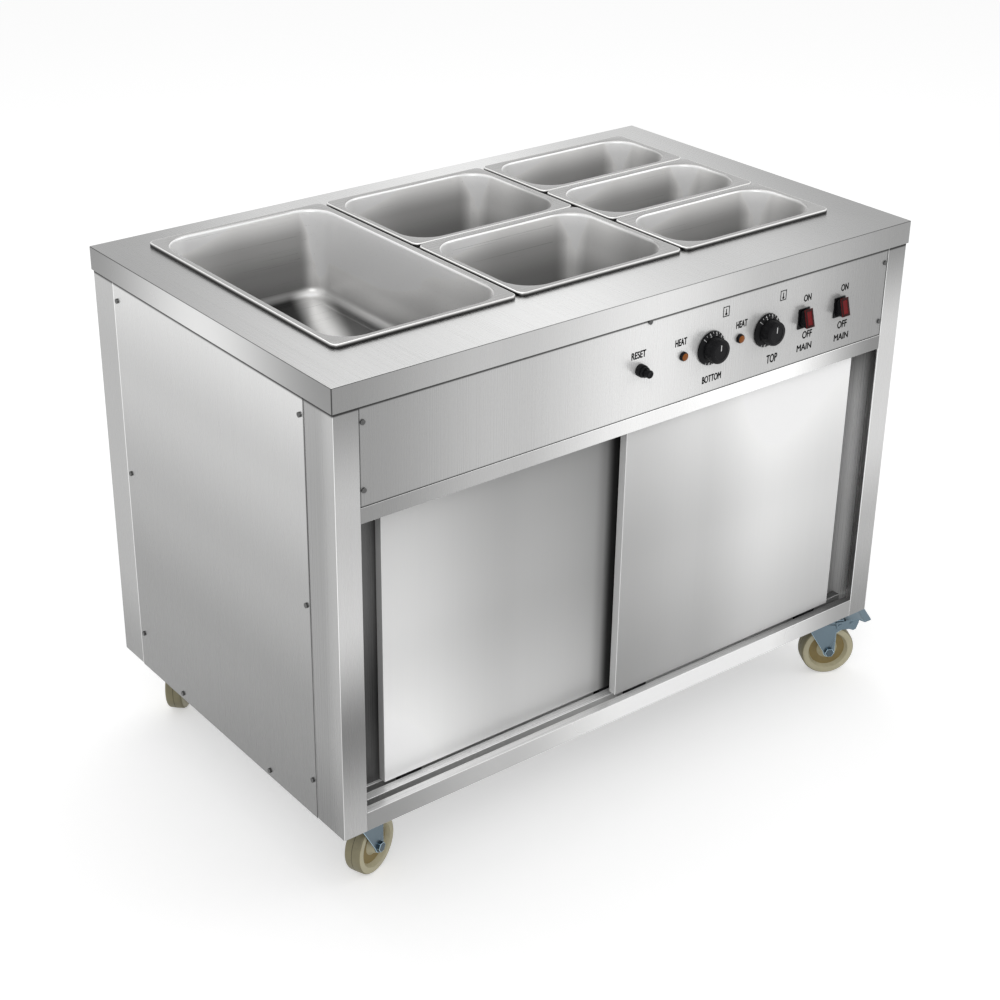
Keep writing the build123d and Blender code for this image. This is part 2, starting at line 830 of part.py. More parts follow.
# Reset device: a collar with a sprung button
collar_radius = 10
collar_height = 9
tier_radius = 8.5
tier_height = 14
button_radius = 6.5
button_reach = 24
button_travel = 3
button_tail = 4
button_round = 1.5
with BuildPart() as reset_collar:
    with BuildSketch(front_face):
        with Locations((reset_x, control_height)):
            Circle(collar_radius)
    extrude(amount=collar_height)
    with BuildSketch(front_face.offset(collar_height)):
        with Locations((reset_x, control_height)):
            Circle(tier_radius)
    extrude(amount=tier_height - collar_height)
    with BuildSketch(front_face):
        with Locations((reset_x, control_height)):
            Circle(reset_shaft_radius)
    extrude(amount=-shank_length)
    with BuildSketch(front_face.offset(tier_height)):
        with Locations((reset_x, control_height)):
            Circle(button_radius + running_fit)
    extrude(amount=-(button_tail + button_travel + seam), mode=Mode.SUBTRACT)
hand_over(reset_collar.part, "reset_collar")

with BuildPart() as reset_button:
    with BuildSketch(front_face.offset(tier_height - button_tail)):
        with Locations((reset_x, control_height)):
            Circle(button_radius)
    extrude(amount=button_reach - tier_height + button_tail)
    fillet(reset_button.faces().sort_by(Axis.Y)[0].edges(), button_round)
hand_over(reset_button.part, "reset_button")

# Rocker switches, each a housing and a rocker on two pivots, drawn pressed at the top
bezel_thickness = 2
housing_depth = 26
pocket_half = 13.5
pocket_width = 19.6
pocket_depth = 9
rocker_width = pocket_width - 2 * seam
rocker_front = 15
rocker_face_half = 16
rocker_shoulder = 6.2
rocker_half = 12.6
rocker_back = 3
rocker_tail = 9.6
rocker_swing = 15
pivot_radius = 1.5
pivot_length = 0.9
rocker_outline = [
    (-rocker_front, rocker_face_half),
    (-rocker_shoulder, rocker_half),
    (rocker_back, rocker_tail),
    (rocker_back, -rocker_tail),
    (-rocker_shoulder, -rocker_half),
    (-rocker_front, -rocker_face_half),
]


def tilted(points, angle):
    """Points of a side view turned about the pivot, the top going in when positive."""
    turn = radians(angle)
    return [(y * cos(turn) + z * sin(turn), z * cos(turn) - y * sin(turn)) for y, z in points]


pivot_reach = pocket_width / 2 + pivot_length
with BuildPart() as switch_housings:
    with BuildSketch(front_face):
        with Locations(*[(x, control_height) for x in switch_x]):
            Rectangle(bezel_width, bezel_height)
    extrude(amount=bezel_thickness)
    with BuildSketch(front_face):
        with Locations(*[(x, control_height) for x in switch_x]):
            Rectangle(cutout_width, cutout_height)
    extrude(amount=-housing_depth)
    with BuildSketch(front_face.offset(bezel_thickness)):
        with Locations(*[(x, control_height) for x in switch_x]):
            Rectangle(pocket_width, 2 * pocket_half)
    extrude(amount=-(pocket_depth + bezel_thickness), mode=Mode.SUBTRACT)
    for x in switch_x:
        with BuildSketch(Plane.YZ.offset(x - pivot_reach)):
            with Locations((panel_face, control_height)):
                Circle(pivot_radius + running_fit)
        extrude(amount=2 * pivot_reach, mode=Mode.SUBTRACT)
hand_over(switch_housings.part, "switch_housings")

outline = [(panel_face + y, control_height + z) for y, z in tilted(rocker_outline, rocker_swing)]
for name, x in (("first_rocker", switch_x[0]), ("second_rocker", switch_x[1])):
    with BuildPart() as rocker:
        with BuildSketch(Plane.YZ.offset(x - rocker_width / 2)):
            with BuildLine():
                Polyline(*outline, close=True)
            make_face()
        extrude(amount=rocker_width)
        with BuildSketch(Plane.YZ.offset(x - pivot_reach + seam)):
            with Locations((panel_face, control_height)):
                Circle(pivot_radius)
        extrude(amount=2 * (pivot_reach - seam))
    hand_over(rocker.part, name)

# Terminal block on the ceiling sheet and cable gland in the back panel
block_length = 70
block_depth = 24
block_height = 18
block_ways = 6
block_inset = 180
block_setback = 48
well_radius = 3
block_x = x_right - block_inset
block_y = body_front + block_setback
block_top = header_top + panel_sheet + block_height
with BuildPart() as terminal_block:
    with Locations((block_x, block_y, header_top + panel_sheet)):
        Box(block_length, block_depth, block_height, align=(Align.CENTER, Align.CENTER, Align.MIN))
    with BuildSketch(Plane.XY.offset(block_top)):
        with Locations((block_x, block_y)):
            with GridLocations(block_length / block_ways, block_depth / 2, block_ways, 2):
                Circle(well_radius)
    extrude(amount=-block_height / 3, mode=Mode.SUBTRACT)
hand_over(terminal_block.part, "terminal_block")

gland_flange_radius = 14
gland_flange = 6
gland_neck = 18
gland_bore = 5.2
gland_cone = 1.5
with BuildPart() as cable_gland:
    with BuildSketch(back_face):
        with Locations((gland_x, gland_z)):
            RegularPolygon(gland_flange_radius, 6)
    extrude(amount=-gland_flange)
    with BuildSketch(back_face.offset(-gland_flange)):
        with Locations((gland_x, gland_z)):
            Circle(gland_body_radius)
    extrude(amount=gland_flange + gland_neck)
    with BuildSketch(back_face.offset(panel_sheet)):
        with Locations((gland_x, gland_z)):
            RegularPolygon(gland_flange_radius, 6)
    extrude(amount=gland_flange)
    with BuildSketch(back_face.offset(-2 * gland_flange)):
        with Locations((gland_x, gland_z)):
            Circle(gland_body_radius - gland_cone)
    extrude(amount=gland_flange)
    with BuildSketch(back_face.offset(-2 * gland_flange)):
        with Locations((gland_x, gland_z)):
            Circle(gland_bore)
    extrude(amount=2 * gland_flange + gland_neck, mode=Mode.SUBTRACT)
hand_over(cable_gland.part, "cable_gland")

# Drain tap under the well, with its lever
tap_flange_radius = 21
tap_flange = 3
tap_bore = 7
hex_radius = 17
hex_drop = 18
hex_height = 26
spigot_length = 40
hex_top = header_top - hex_drop
hex_bottom = hex_top - hex_height
spigot_end = hex_bottom - spigot_length
stem_z = (hex_top + hex_bottom) / 2
stem_radius = 4
stem_depth = 6
stem_spare = 1
tank_under = well_floor - tank_sheet
with BuildPart() as drain_tap:
    with BuildSketch(Plane.XY.offset(tank_under)):
        with Locations((drain_x, drain_y)):
            Circle(tap_flange_radius)
    extrude(amount=-tap_flange)
    with BuildSketch(Plane.XY.offset(tank_under)):
        with Locations((drain_x, drain_y)):
            Circle(drain_radius)
    extrude(amount=spigot_end - tank_under)
    with BuildSketch(Plane.XY.offset(hex_top)):
        with Locations((drain_x, drain_y)):
            RegularPolygon(hex_radius, 6, major_radius=False)
    extrude(amount=hex_bottom - hex_top)
    with BuildSketch(Plane.XY.offset(tank_under)):
        with Locations((drain_x, drain_y)):
            Circle(tap_bore)
    extrude(amount=spigot_end - tank_under, mode=Mode.SUBTRACT)
    with BuildSketch(Plane.XZ.offset(-(drain_y - hex_radius))):
        with Locations((drain_x, stem_z)):
            Circle(stem_radius + running_fit)
    extrude(amount=-(stem_depth + stem_spare), mode=Mode.SUBTRACT)
hand_over(drain_tap.part, "drain_tap")

lever_width = 14
lever_length = 70
lever_thickness = 4
lever_gap = 3
lever_y = drain_y - hex_radius - lever_gap
with BuildPart() as drain_lever:
    with BuildSketch(Plane.XZ.offset(-lever_y)):
        with Locations((drain_x + lever_length / 2 - lever_width / 2, stem_z)):
            SlotOverall(lever_length, lever_width)
    extrude(amount=lever_thickness)
    with BuildSketch(Plane.XZ.offset(-lever_y)):
        with Locations((drain_x, stem_z)):
            Circle(stem_radius)
    extrude(amount=-(lever_gap + stem_depth))
hand_over(drain_lever.part, "drain_lever")

# Panel screws, alike at the sides, the back and the control panel


def screws_at(plane, places):
    """Pan head screws with their heads on a plane and their shanks behind it."""
    with BuildPart() as screws:
        with BuildSketch(plane):
            with Locations(*places):
                Circle(screw_head_radius)
        extrude(amount=screw_head_height)
        with BuildSketch(plane):
            with Locations(*places):
                Circle(screw_radius)
        extrude(amount=-screw_length)
    return screws.part


left_outward = Plane(origin=(body_left, 0, 0), x_dir=(0, -1, 0), z_dir=(-1, 0, 0))
back_outward = Plane(origin=(0, body_back, 0), x_dir=(-1, 0, 0), z_dir=(0, 1, 0))
screw_groups = [
    screws_at(left_outward, [(-y, z) for y, z in side_screws]),
    screws_at(right_face, side_screws),
    screws_at(back_outward, [(-x, z) for x, z in back_screws]),
    screws_at(front_face, control_screws),
]
with BuildPart() as panel_screws:
    for group in screw_groups:
        add(group)
hand_over(panel_screws.part, "panel_screws")

# Sliding doors: folded trays with guide blocks at their corners
door_bottom = rail_top + door_lift
door_top = header_bottom + door_lap
lip = 10
glide_width = groove_width - 2 * glide_clearance
cap_width = door_thickness + 2 * (door_play - glide_clearance)
glide_inset = 30
left_door_x = x_left + left_door_offset
right_door_x = x_left + right_door_offset
for name, x, centre_y in (
    ("left_door", left_door_x, rear_door_y),
    ("right_door", right_door_x, front_door_y),
):
    near = centre_y - door_thickness / 2
    far = centre_y + door_thickness / 2
    tray_path = [
        (x + lip, far),
        (x, far),
        (x, near),
        (x + door_length, near),
        (x + door_length, far),
        (x + door_length - lip, far),
    ]
    tray = bent_sheet(
        Plane.XY.offset(door_bottom), tray_path, door_top - door_bottom, panel_sheet, Side.LEFT
    )
    with BuildPart() as door:
        add(tray)
        for z in (door_bottom, door_top - panel_sheet):
            with Locations((x + door_length / 2, centre_y, z)):
                Box(
                    door_length - panel_sheet,
                    door_thickness - panel_sheet,
                    panel_sheet,
                    align=(Align.CENTER, Align.CENTER, Align.MIN),
                )
    hand_over(door.part, name)
    glide_x = [x + glide_inset + glide_length / 2, x + door_length - glide_inset - glide_length / 2]
    with BuildPart() as glides:
        with Locations(*[(gx, centre_y, door_bottom) for gx in glide_x]):
            Box(
                glide_length,
                glide_width,
                door_bottom - groove_floor - seam,
                align=(Align.CENTER, Align.CENTER, Align.MAX),
            )
        with Locations(*[(gx, centre_y, door_top) for gx in glide_x]):
            Box(
                glide_length,
                cap_width,
                header_top - panel_sheet - seam - door_top,
                align=(Align.CENTER, Align.CENTER, Align.MIN),
            )
    hand_over(glides.part, f"{name}_glides")

# Castors: mounting plates with their kingpins
raceway_radius = 24
raceway_height = 20
raceway_taper = 8
plate_corner = 6
crown_top = base_clearance - plate_thickness - raceway_height
crown_thickness = 3
pin_head_radius = 10
pin_head_height = 3
crown_bottom = crown_top - crown_thickness
swivel_gap = 0.1
with BuildPart() as castor_plates:
    with BuildSketch(Plane.XY.offset(base_clearance)):
        for x, y, heading in castor_places.values():
            with Locations((x, y)):
                RectangleRounded(plate_length, plate_depth, plate_corner)
    extrude(amount=-plate_thickness)
    with BuildSketch(Plane.XY.offset(base_clearance - plate_thickness)):
        for x, y, heading in castor_places.values():
            with Locations((x, y)):
                Circle(raceway_radius)
    extrude(amount=-(raceway_height - swivel_gap), taper=raceway_taper)
    with BuildSketch(Plane.XY.offset(base_clearance - plate_thickness)):
        for x, y, heading in castor_places.values():
            with Locations((x, y)):
                Circle(kingpin_radius)
    extrude(amount=crown_bottom - swivel_gap - base_clearance + plate_thickness)
    with BuildSketch(Plane.XY.offset(crown_bottom - swivel_gap)):
        for x, y, heading in castor_places.values():
            with Locations((x, y)):
                Circle(pin_head_radius)
    extrude(amount=-pin_head_height)
    add(bolt_cutters.part, mode=Mode.SUBTRACT)
hand_over(castor_plates.part, "castor_plates")

# Bolts that hold the castor plates to the posts, each with its nut
bolt_end = 2
with BuildPart() as castor_bolts:
    with BuildSketch(Plane.XY.offset(base_clearance - plate_thickness)):
        with Locations(*bolt_places):
            RegularPolygon(bolt_head_radius, 6)
    extrude(amount=-bolt_head_height)
    with BuildSketch(Plane.XY.offset(base_clearance - plate_thickness)):
        with Locations(*bolt_places):
            Circle(bolt_radius)
    extrude(amount=plate_thickness + foot_thickness + bolt_head_height + bolt_end)
    with BuildSketch(Plane.XY.offset(base_clearance + foot_thickness)):
        with Locations(*bolt_places):
            RegularPolygon(bolt_head_radius, 6)
    extrude(amount=bolt_head_height)
hand_over(castor_bolts.part, "castor_bolts")

# Forks, wheels, axles and brakes
leg_thickness = 2.5
leg_inner = wheel_width / 2 + 2.5
leg_outer = leg_inner + leg_thickness
hub_radius = 12
hub_half = leg_inner - 0.5
eye_radius = 11
crown_back = 20
crown_edge = 3
ear_reach = 52
ear_bottom = crown_top - 18.5
ear_slope = 8
axle_clearance = 0.1
tread_round = 4
web_radius = 34
web_depth = 8
web_taper = 20
axle_head_radius = 9
axle_head_height = 5

# Brake pedals, as a side view from the castor's pivot: cheeks, tread and the shoe over the wheel
pedal_pivot = (castor_trail + 16, crown_top - 11.5)
pedal_pivot_radius = 3
pedal_sheet = 2
pedal_cheek = [(-9, 8), (11, 10.5), (35, 13), (34, 5.5), (30, -7), (25, -10), (18, -7), (-5, -7.5)]
pedal_tread = [
    (10, 11.5),
    (35, 13.4),
    (45.5, 8.2),
    (56.5, 11.8),
    (56.5, 9),
    (46, 5),
    (34.5, 10.4),
    (10, 8.5),
]
pedal_shoe = [(9, 9.5), (23, 10.5), (17, -4), (6, -7)]
rivet_place = (21.5, 4)
rivet_radius = 4
rivet_height = 1.2
for corner, (x, y, heading) in castor_places.items():
    turn = radians(heading)
    ahead = (cos(turn), sin(turn), 0)
    flat = Plane(origin=(x, y, 0), x_dir=ahead, z_dir=(0, 0, 1))
    side = Plane(origin=(x, y, 0), x_dir=ahead, z_dir=(sin(turn), -cos(turn), 0))
    axle = (castor_trail, wheel_radius)
    leg_outline = [
        (-crown_back, crown_top),
        (ear_reach, crown_top),
        (ear_reach, ear_bottom),
        (castor_trail + eye_radius, ear_bottom - ear_slope),
        (castor_trail + eye_radius, wheel_radius),
        (castor_trail - eye_radius, wheel_radius),
        (-crown_back, crown_top - crown_edge),
    ]
    with BuildPart() as fork:
        with BuildSketch(flat.offset(crown_bottom)):
            with Locations(((ear_reach - crown_back) / 2, 0)):
                Rectangle(ear_reach + crown_back, 2 * leg_outer)
        extrude(amount=crown_thickness)
        for near in (leg_inner, -leg_outer):
            with BuildSketch(side.offset(near)):
                with BuildLine():
                    Polyline(*leg_outline, close=True)
                make_face()
                with Locations(axle):
                    Circle(eye_radius)
                with Locations(axle):
                    Circle(axle_radius + axle_clearance, mode=Mode.SUBTRACT)
                with Locations(pedal_pivot):
                    Circle(pedal_pivot_radius + running_fit, mode=Mode.SUBTRACT)
            extrude(amount=leg_thickness)
        with BuildSketch(flat.offset(crown_top)):
            Circle(kingpin_radius + running_fit)
        extrude(amount=-2 * crown_thickness, mode=Mode.SUBTRACT)
    hand_over(fork.part, f"{corner}_fork")
    with BuildPart() as wheel:
        with BuildSketch(side.offset(-wheel_width / 2)):
            with Locations(axle):
                Circle(wheel_radius)
        extrude(amount=wheel_width)
        fillet(wheel.edges().filter_by(GeomType.CIRCLE), tread_round)
        for near, run in ((wheel_width / 2, -web_depth), (-wheel_width / 2, web_depth)):
            with BuildSketch(side.offset(near)):
                with Locations(axle):
                    Circle(web_radius)
            extrude(amount=run, taper=web_taper, mode=Mode.SUBTRACT)
        with BuildSketch(side.offset(-hub_half)):
            with Locations(axle):
                Circle(hub_radius)
        extrude(amount=2 * hub_half)
        with BuildSketch(side.offset(-hub_half)):
            with Locations(axle):
                Circle(axle_radius + running_fit)
        extrude(amount=2 * hub_half, mode=Mode.SUBTRACT)
    hand_over(wheel.part, f"{corner}_wheel")
    with BuildPart() as axle_bolt:
        with BuildSketch(side.offset(-leg_outer - axle_head_height)):
            with Locations(axle):
                RegularPolygon(axle_head_radius, 6)
        extrude(amount=axle_head_height)
        with BuildSketch(side.offset(leg_outer)):
            with Locations(axle):
                RegularPolygon(axle_head_radius, 6)
        extrude(amount=axle_head_height)
        with BuildSketch(side.offset(-leg_outer)):
            with Locations(axle):
                Circle(axle_radius)
        extrude(amount=2 * leg_outer)
    hand_over(axle_bolt.part, f"{corner}_axle")
    if corner.startswith("front"):
        pivot_x, pivot_z = pedal_pivot
        cheek_near = leg_outer + seam
        cheek_far = cheek_near + pedal_sheet
        shoe_half = leg_inner - seam
        rivets = [pedal_pivot, (pivot_x + rivet_place[0], pivot_z + rivet_place[1])]
        profiles = [
            (pedal_cheek, cheek_near, pedal_sheet),
            (pedal_cheek, -cheek_far, pedal_sheet),
            (pedal_tread, -cheek_far, 2 * cheek_far),
            (pedal_shoe, -shoe_half, 2 * shoe_half),
        ]
        with BuildPart() as pedal:
            for profile, near, width in profiles:
                with BuildSketch(side.offset(near)):
                    with BuildLine():
                        Polyline(*[(pivot_x + a, pivot_z + b) for a, b in profile], close=True)
                    make_face()
                extrude(amount=width)
            with BuildSketch(side.offset(-cheek_far)):
                with Locations(pedal_pivot):
                    Circle(pedal_pivot_radius)
            extrude(amount=2 * cheek_far)
            for near in (cheek_far, -cheek_far - rivet_height):
                with BuildSketch(side.offset(near)):
                    with Locations(*rivets):
                        Circle(rivet_radius)
                extrude(amount=rivet_height)
        hand_over(pedal.part, f"{corner}_brake_pedal")
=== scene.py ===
"""Mobile bain marie: finishes, pressed pans, controls, castors and stage around the fixed frame."""
import json
from math import cos, pi, radians, sin, tan

import bmesh
import bpy
from mathutils import Matrix, Vector


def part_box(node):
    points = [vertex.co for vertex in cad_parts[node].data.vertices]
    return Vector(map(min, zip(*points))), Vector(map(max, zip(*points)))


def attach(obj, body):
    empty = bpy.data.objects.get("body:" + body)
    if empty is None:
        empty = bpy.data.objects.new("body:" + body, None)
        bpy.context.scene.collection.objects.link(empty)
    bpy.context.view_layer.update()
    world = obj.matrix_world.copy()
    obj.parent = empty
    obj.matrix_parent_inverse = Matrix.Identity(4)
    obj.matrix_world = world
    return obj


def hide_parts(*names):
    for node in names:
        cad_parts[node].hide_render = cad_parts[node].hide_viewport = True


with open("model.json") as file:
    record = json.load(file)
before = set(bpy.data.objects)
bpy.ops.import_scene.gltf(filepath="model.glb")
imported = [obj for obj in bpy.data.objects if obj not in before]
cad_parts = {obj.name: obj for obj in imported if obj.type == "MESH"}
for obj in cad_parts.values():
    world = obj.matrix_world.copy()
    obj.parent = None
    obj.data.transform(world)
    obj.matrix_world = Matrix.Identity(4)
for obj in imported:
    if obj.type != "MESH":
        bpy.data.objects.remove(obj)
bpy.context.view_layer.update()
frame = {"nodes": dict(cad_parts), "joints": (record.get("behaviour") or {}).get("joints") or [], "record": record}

bl_info = {
    "name": "Mobile bain marie",
    "version": (1, 0, 0),
    "blender": (4, 5, 0),
    "location": "View3D > Sidebar > Bain marie",
    "description": "Finishes and details for a mobile bain marie",
    "category": "Object",
}

JOINTS = {joint["name"]: joint for joint in frame["joints"]}
NODES = frame["nodes"]
TURN = 2 * pi


# Sizes and colours that a user would change


class BainMarieSizes(bpy.types.PropertyGroup):
    """Sizes of the pieces that are modelled here."""

    rim_width: bpy.props.FloatProperty(
        name="Rim width", description="Width of a food pan's rim", default=0.013, unit="LENGTH"
    )
    rim_height: bpy.props.FloatProperty(
        name="Rim height", description="Rim above the worktop", default=0.006, unit="LENGTH"
    )
    pan_depth: bpy.props.FloatProperty(
        name="Pan depth", description="From the rim to the underside", default=0.150, unit="LENGTH"
    )
    pan_sheet: bpy.props.FloatProperty(
        name="Pan sheet", description="Thickness of the pressed sheet", default=0.001, unit="LENGTH"
    )
    mouth_corner: bpy.props.FloatProperty(
        name="Mouth corner", description="Corner of a pan's mouth", default=0.049, unit="LENGTH"
    )
    foot_radius: bpy.props.FloatProperty(
        name="Foot radius", description="Between wall and floor", default=0.019, unit="LENGTH"
    )
    draft: bpy.props.FloatProperty(
        name="Draft", description="Slope of the pan walls", default=radians(4), unit="ROTATION"
    )
    wheel_radius: bpy.props.FloatProperty(
        name="Wheel radius", description="Radius of a castor wheel", default=0.049, unit="LENGTH"
    )
    wheel_width: bpy.props.FloatProperty(
        name="Wheel width", description="Width of a castor's tread", default=0.030, unit="LENGTH"
    )
    letter_weight: bpy.props.FloatProperty(
        name="Letter weight", description="Added to a stroke", default=0.00045, unit="LENGTH"
    )


class BainMarieFinishes(bpy.types.PropertyGroup):
    """Colours of the finishes."""

    steel: bpy.props.FloatVectorProperty(
        name="Steel", description="Satin steel", subtype="COLOR", default=(0.92, 0.92, 0.915)
    )
    pan_steel: bpy.props.FloatVectorProperty(
        name="Pan steel", description="Pressed steel", subtype="COLOR", default=(0.90, 0.895, 0.885)
    )
    zinc: bpy.props.FloatVectorProperty(
        name="Zinc", description="Bluish zinc plating", subtype="COLOR", default=(0.15, 0.20, 0.235)
    )
    nylon: bpy.props.FloatVectorProperty(
        name="Nylon", description="Cream wheel nylon", subtype="COLOR", default=(0.52, 0.48, 0.33)
    )
    black: bpy.props.FloatVectorProperty(
        name="Black", description="Black mouldings", subtype="COLOR", default=(0.006, 0.006, 0.007)
    )
    red: bpy.props.FloatVectorProperty(
        name="Red", description="Rocker red", subtype="COLOR", default=(0.17, 0.001, 0.003)
    )
    amber: bpy.props.FloatVectorProperty(
        name="Amber", description="Lamp amber", subtype="COLOR", default=(0.27, 0.075, 0.003)
    )


def sizes():
    return bpy.context.scene.bain_marie_sizes


def colours():
    return bpy.context.scene.bain_marie_finishes


# Finishes


def new_material(name, colour, metallic=0.0, roughness=0.5):
    """A material and its main shader."""
    material = bpy.data.materials.new(name)
    material.use_nodes = True
    shader = material.node_tree.nodes["Principled BSDF"]
    shader.inputs["Base Color"].default_value = (*colour, 1)
    shader.inputs["Metallic"].default_value = metallic
    shader.inputs["Roughness"].default_value = roughness
    return material, shader


def add_node(material, kind, inputs=None, **settings):
    node = material.node_tree.nodes.new(kind)
    for key, value in settings.items():
        setattr(node, key, value)
    for key, value in (inputs or {}).items():
        if isinstance(value, bpy.types.NodeSocket):
            material.node_tree.links.new(value, node.inputs[key])
        else:
            node.inputs[key].default_value = value
    return node


def grain_field(material, grain, fine):
    """Streaky noise that is long along the axes of the grain and fine across them."""
    position = add_node(material, "ShaderNodeTexCoord").outputs["Object"]
    scale = [2.0 if axis in grain else fine for axis in "XYZ"]
    mapped = add_node(material, "ShaderNodeMapping", {"Vector": position, "Scale": scale})
    return add_node(
        material,
        "ShaderNodeTexNoise",
        {"Vector": mapped.outputs[0], "Scale": 1.0, "Detail": 4.0, "Roughness": 0.6},
    ).outputs["Fac"]


def remap(material, value, low, high, start=0.3, stop=0.7):
    return add_node(
        material,
        "ShaderNodeMapRange",
        {"Value": value, "From Min": start, "From Max": stop, "To Min": low, "To Max": high},
    ).outputs[0]


def calculate(material, operation, first, second):
    terms = {0: first, 1: second}
    return add_node(material, "ShaderNodeMath", terms, operation=operation).outputs[0]


def multiply(material, first, second):
    return calculate(material, "MULTIPLY", first, second)


def tinted(material, colour, level):
    """A colour made lighter or darker by a level."""
    grey = add_node(material, "ShaderNodeCombineXYZ", {0: level, 1: level, 2: level}).outputs[0]
    factors = {0: tuple(colour), 1: grey}
    return add_node(material, "ShaderNodeVectorMath", factors, operation="MULTIPLY").outputs[0]


def sweep_tone(material, direction, low, high, tones):
    """A slow change of tone along a direction, from evenly spaced tones: it paints light and shade into the
    steel's colour, and also sweeps how metallic a sheet is.
    """
    position = add_node(material, "ShaderNodeTexCoord").outputs["Object"]
    factors = {0: position, 1: direction}
    run = add_node(material, "ShaderNodeVectorMath", factors, operation="DOT_PRODUCT")
    along = remap(material, run.outputs["Value"], 0, 1, low, high)
    ramp = add_node(material, "ShaderNodeValToRGB", {"Fac": along})
    ramp.color_ramp.interpolation = "EASE"
    while len(ramp.color_ramp.elements) < len(tones):
        ramp.color_ramp.elements.new(0.5)
    for i, tone in enumerate(tones):
        ramp.color_ramp.elements[i].position = i / (len(tones) - 1)
        ramp.color_ramp.elements[i].color = (tone, tone, tone, 1)
    return ramp.outputs[0]


FACINGS = {
    "right": (0, 1),
    "left": (0, -1),
    "back": (1, 1),
    "front": (1, -1),
    "top": (2, 1),
    "under": (2, -1),
}


def facing_tone(material, faces, rest, bends):
    """Painted light and shade: blends the painted tones of the six ways a sheet can face, and paints its bends
    lighter or darker.
    """
    normal = add_node(material, "ShaderNodeTexCoord").outputs["Normal"]
    parts = add_node(material, "ShaderNodeSeparateXYZ", {0: normal}).outputs
    total = 0.0
    widest = 0.0
    for facing, (axis, sign) in FACINGS.items():
        toward = calculate(material, "MAXIMUM", multiply(material, parts[axis], sign), 0.0)
        widest = calculate(material, "MAXIMUM", toward, widest)
        level = multiply(material, toward, toward)
        tones = faces.get(facing, rest)
        if isinstance(tones, (int, float)):
            level = multiply(material, level, tones)
        else:
            for sweep in tones:
                level = multiply(material, level, sweep_tone(material, *sweep))
        total = calculate(material, "ADD", level, total)
    bend = calculate(material, "SUBTRACT", 1.0, widest)
    return multiply(material, total, remap(material, bend, 1.0, bends, 0.02, 0.2))


def satin_steel(
    name,
    grain="YZ",
    faces=None,
    rest=0.5,
    roughness=0.28,
    colour=None,
    streak=0.015,
    bends=2.4,
    metal=1.0,
    relief=0.02,
):
    """Brushed stainless sheet: streaks along the grain, and painted light and shade as slow changes of tone by
    facing and place, with painted highlights or shade on the bends.
    """
    colour = colour or colours().steel
    depth = isinstance(metal, tuple)
    material, shader = new_material(name, colour, 1.0 if depth else metal, roughness)
    shader.inputs["Specular IOR Level"].default_value = 0.2
    fine = grain_field(material, grain, 700)
    broad = grain_field(material, grain, 90)
    level = multiply(
        material,
        remap(material, fine, 1 - streak, 1 + streak),
        remap(material, broad, 1 - streak / 2, 1 + streak / 2),
    )
    level = multiply(material, level, facing_tone(material, faces or {}, rest, bends))
    limit = {0: tinted(material, colour, level), 1: (1.0, 1.0, 1.0)}
    shown = add_node(material, "ShaderNodeVectorMath", limit, operation="MINIMUM")
    links = material.node_tree.links
    links.new(shown.outputs[0], shader.inputs["Base Color"])
    if depth:
        links.new(sweep_tone(material, *metal), shader.inputs["Metallic"])
    links.new(remap(material, fine, roughness - 0.03, roughness + 0.04), shader.inputs["Roughness"])
    heights = {"Height": fine, "Strength": relief, "Distance": 0.0002}
    bump = add_node(material, "ShaderNodeBump", heights)
    links.new(bump.outputs[0], shader.inputs["Normal"])
    return material


def moulded(name, colour, roughness=0.4, speckle=0.08, scale=400.0, shine=0.5):
    """Moulded plastic with a fine, uneven surface."""
    material, shader = new_material(name, colour, 0.0, roughness)
    position = add_node(material, "ShaderNodeTexCoord").outputs["Object"]
    noise = add_node(
        material,
        "ShaderNodeTexNoise",
        {"Vector": position, "Scale": scale, "Detail": 3.0, "Roughness": 0.6},
    ).outputs["Fac"]
    level = remap(material, noise, 1 - speckle, 1 + speckle)
    uneven = remap(material, noise, roughness - 0.05, roughness + 0.08)
    links = material.node_tree.links
    links.new(tinted(material, colour, level), shader.inputs["Base Color"])
    links.new(uneven, shader.inputs["Roughness"])
    heights = {"Height": noise, "Strength": 0.08, "Distance": 0.0003}
    bump = add_node(material, "ShaderNodeBump", heights)
    links.new(bump.outputs[0], shader.inputs["Normal"])
    shader.inputs["Specular IOR Level"].default_value = shine
    return material


# Modelling


def deselect():
    if bpy.context.object and bpy.context.object.mode != "OBJECT":
        bpy.ops.object.mode_set(mode="OBJECT")
    bpy.ops.object.select_all(action="DESELECT")


def only(piece):
    deselect()
    piece.select_set(True)
    bpy.context.view_layer.objects.active = piece


def settle(piece):
    """Leaves the piece at the origin, with its place in its mesh."""
    only(piece)
    bpy.ops.object.transform_apply(location=True, rotation=True, scale=True)


def place(piece, matrix):
    piece.matrix_world = matrix @ piece.matrix_world
    settle(piece)


def merge_corners(piece):
    """Joins the loose triangles of a copied node at their corners."""
    only(piece)
    bpy.ops.object.mode_set(mode="EDIT")
    bpy.ops.mesh.select_all(action="SELECT")
    bpy.ops.mesh.remove_doubles(threshold=0.000005)
    bpy.ops.object.mode_set(mode="OBJECT")


def smooth(piece, angle=35):
    only(piece)
    bpy.ops.object.shade_smooth_by_angle(angle=radians(angle))


def modify(piece, kind, **settings):
    only(piece)
    bpy.ops.object.modifier_add(type=kind)
    modifier = piece.modifiers[-1]
    for key, value in settings.items():
        setattr(modifier, key, value)
    bpy.ops.object.modifier_apply(modifier=modifier.name)


def finish_piece(piece, name, material, body, slot, *stands_for):
    """Names a piece, gives it its finish and ties it to its body."""
    piece.name = name
    piece.data.name = name
    if material:
        piece.data.materials.clear()
        piece.data.materials.append(material)
    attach(piece, body)
    if stands_for:
        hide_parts(*stands_for)
    return piece


def zoned(piece, finishes, zone_of):
    """Gives each face the finish of its zone, from the face's middle."""
    piece.data.materials.clear()
    for finish in finishes:
        piece.data.materials.append(finish)
    for face in piece.data.polygons:
        face.material_index = zone_of(face.center)


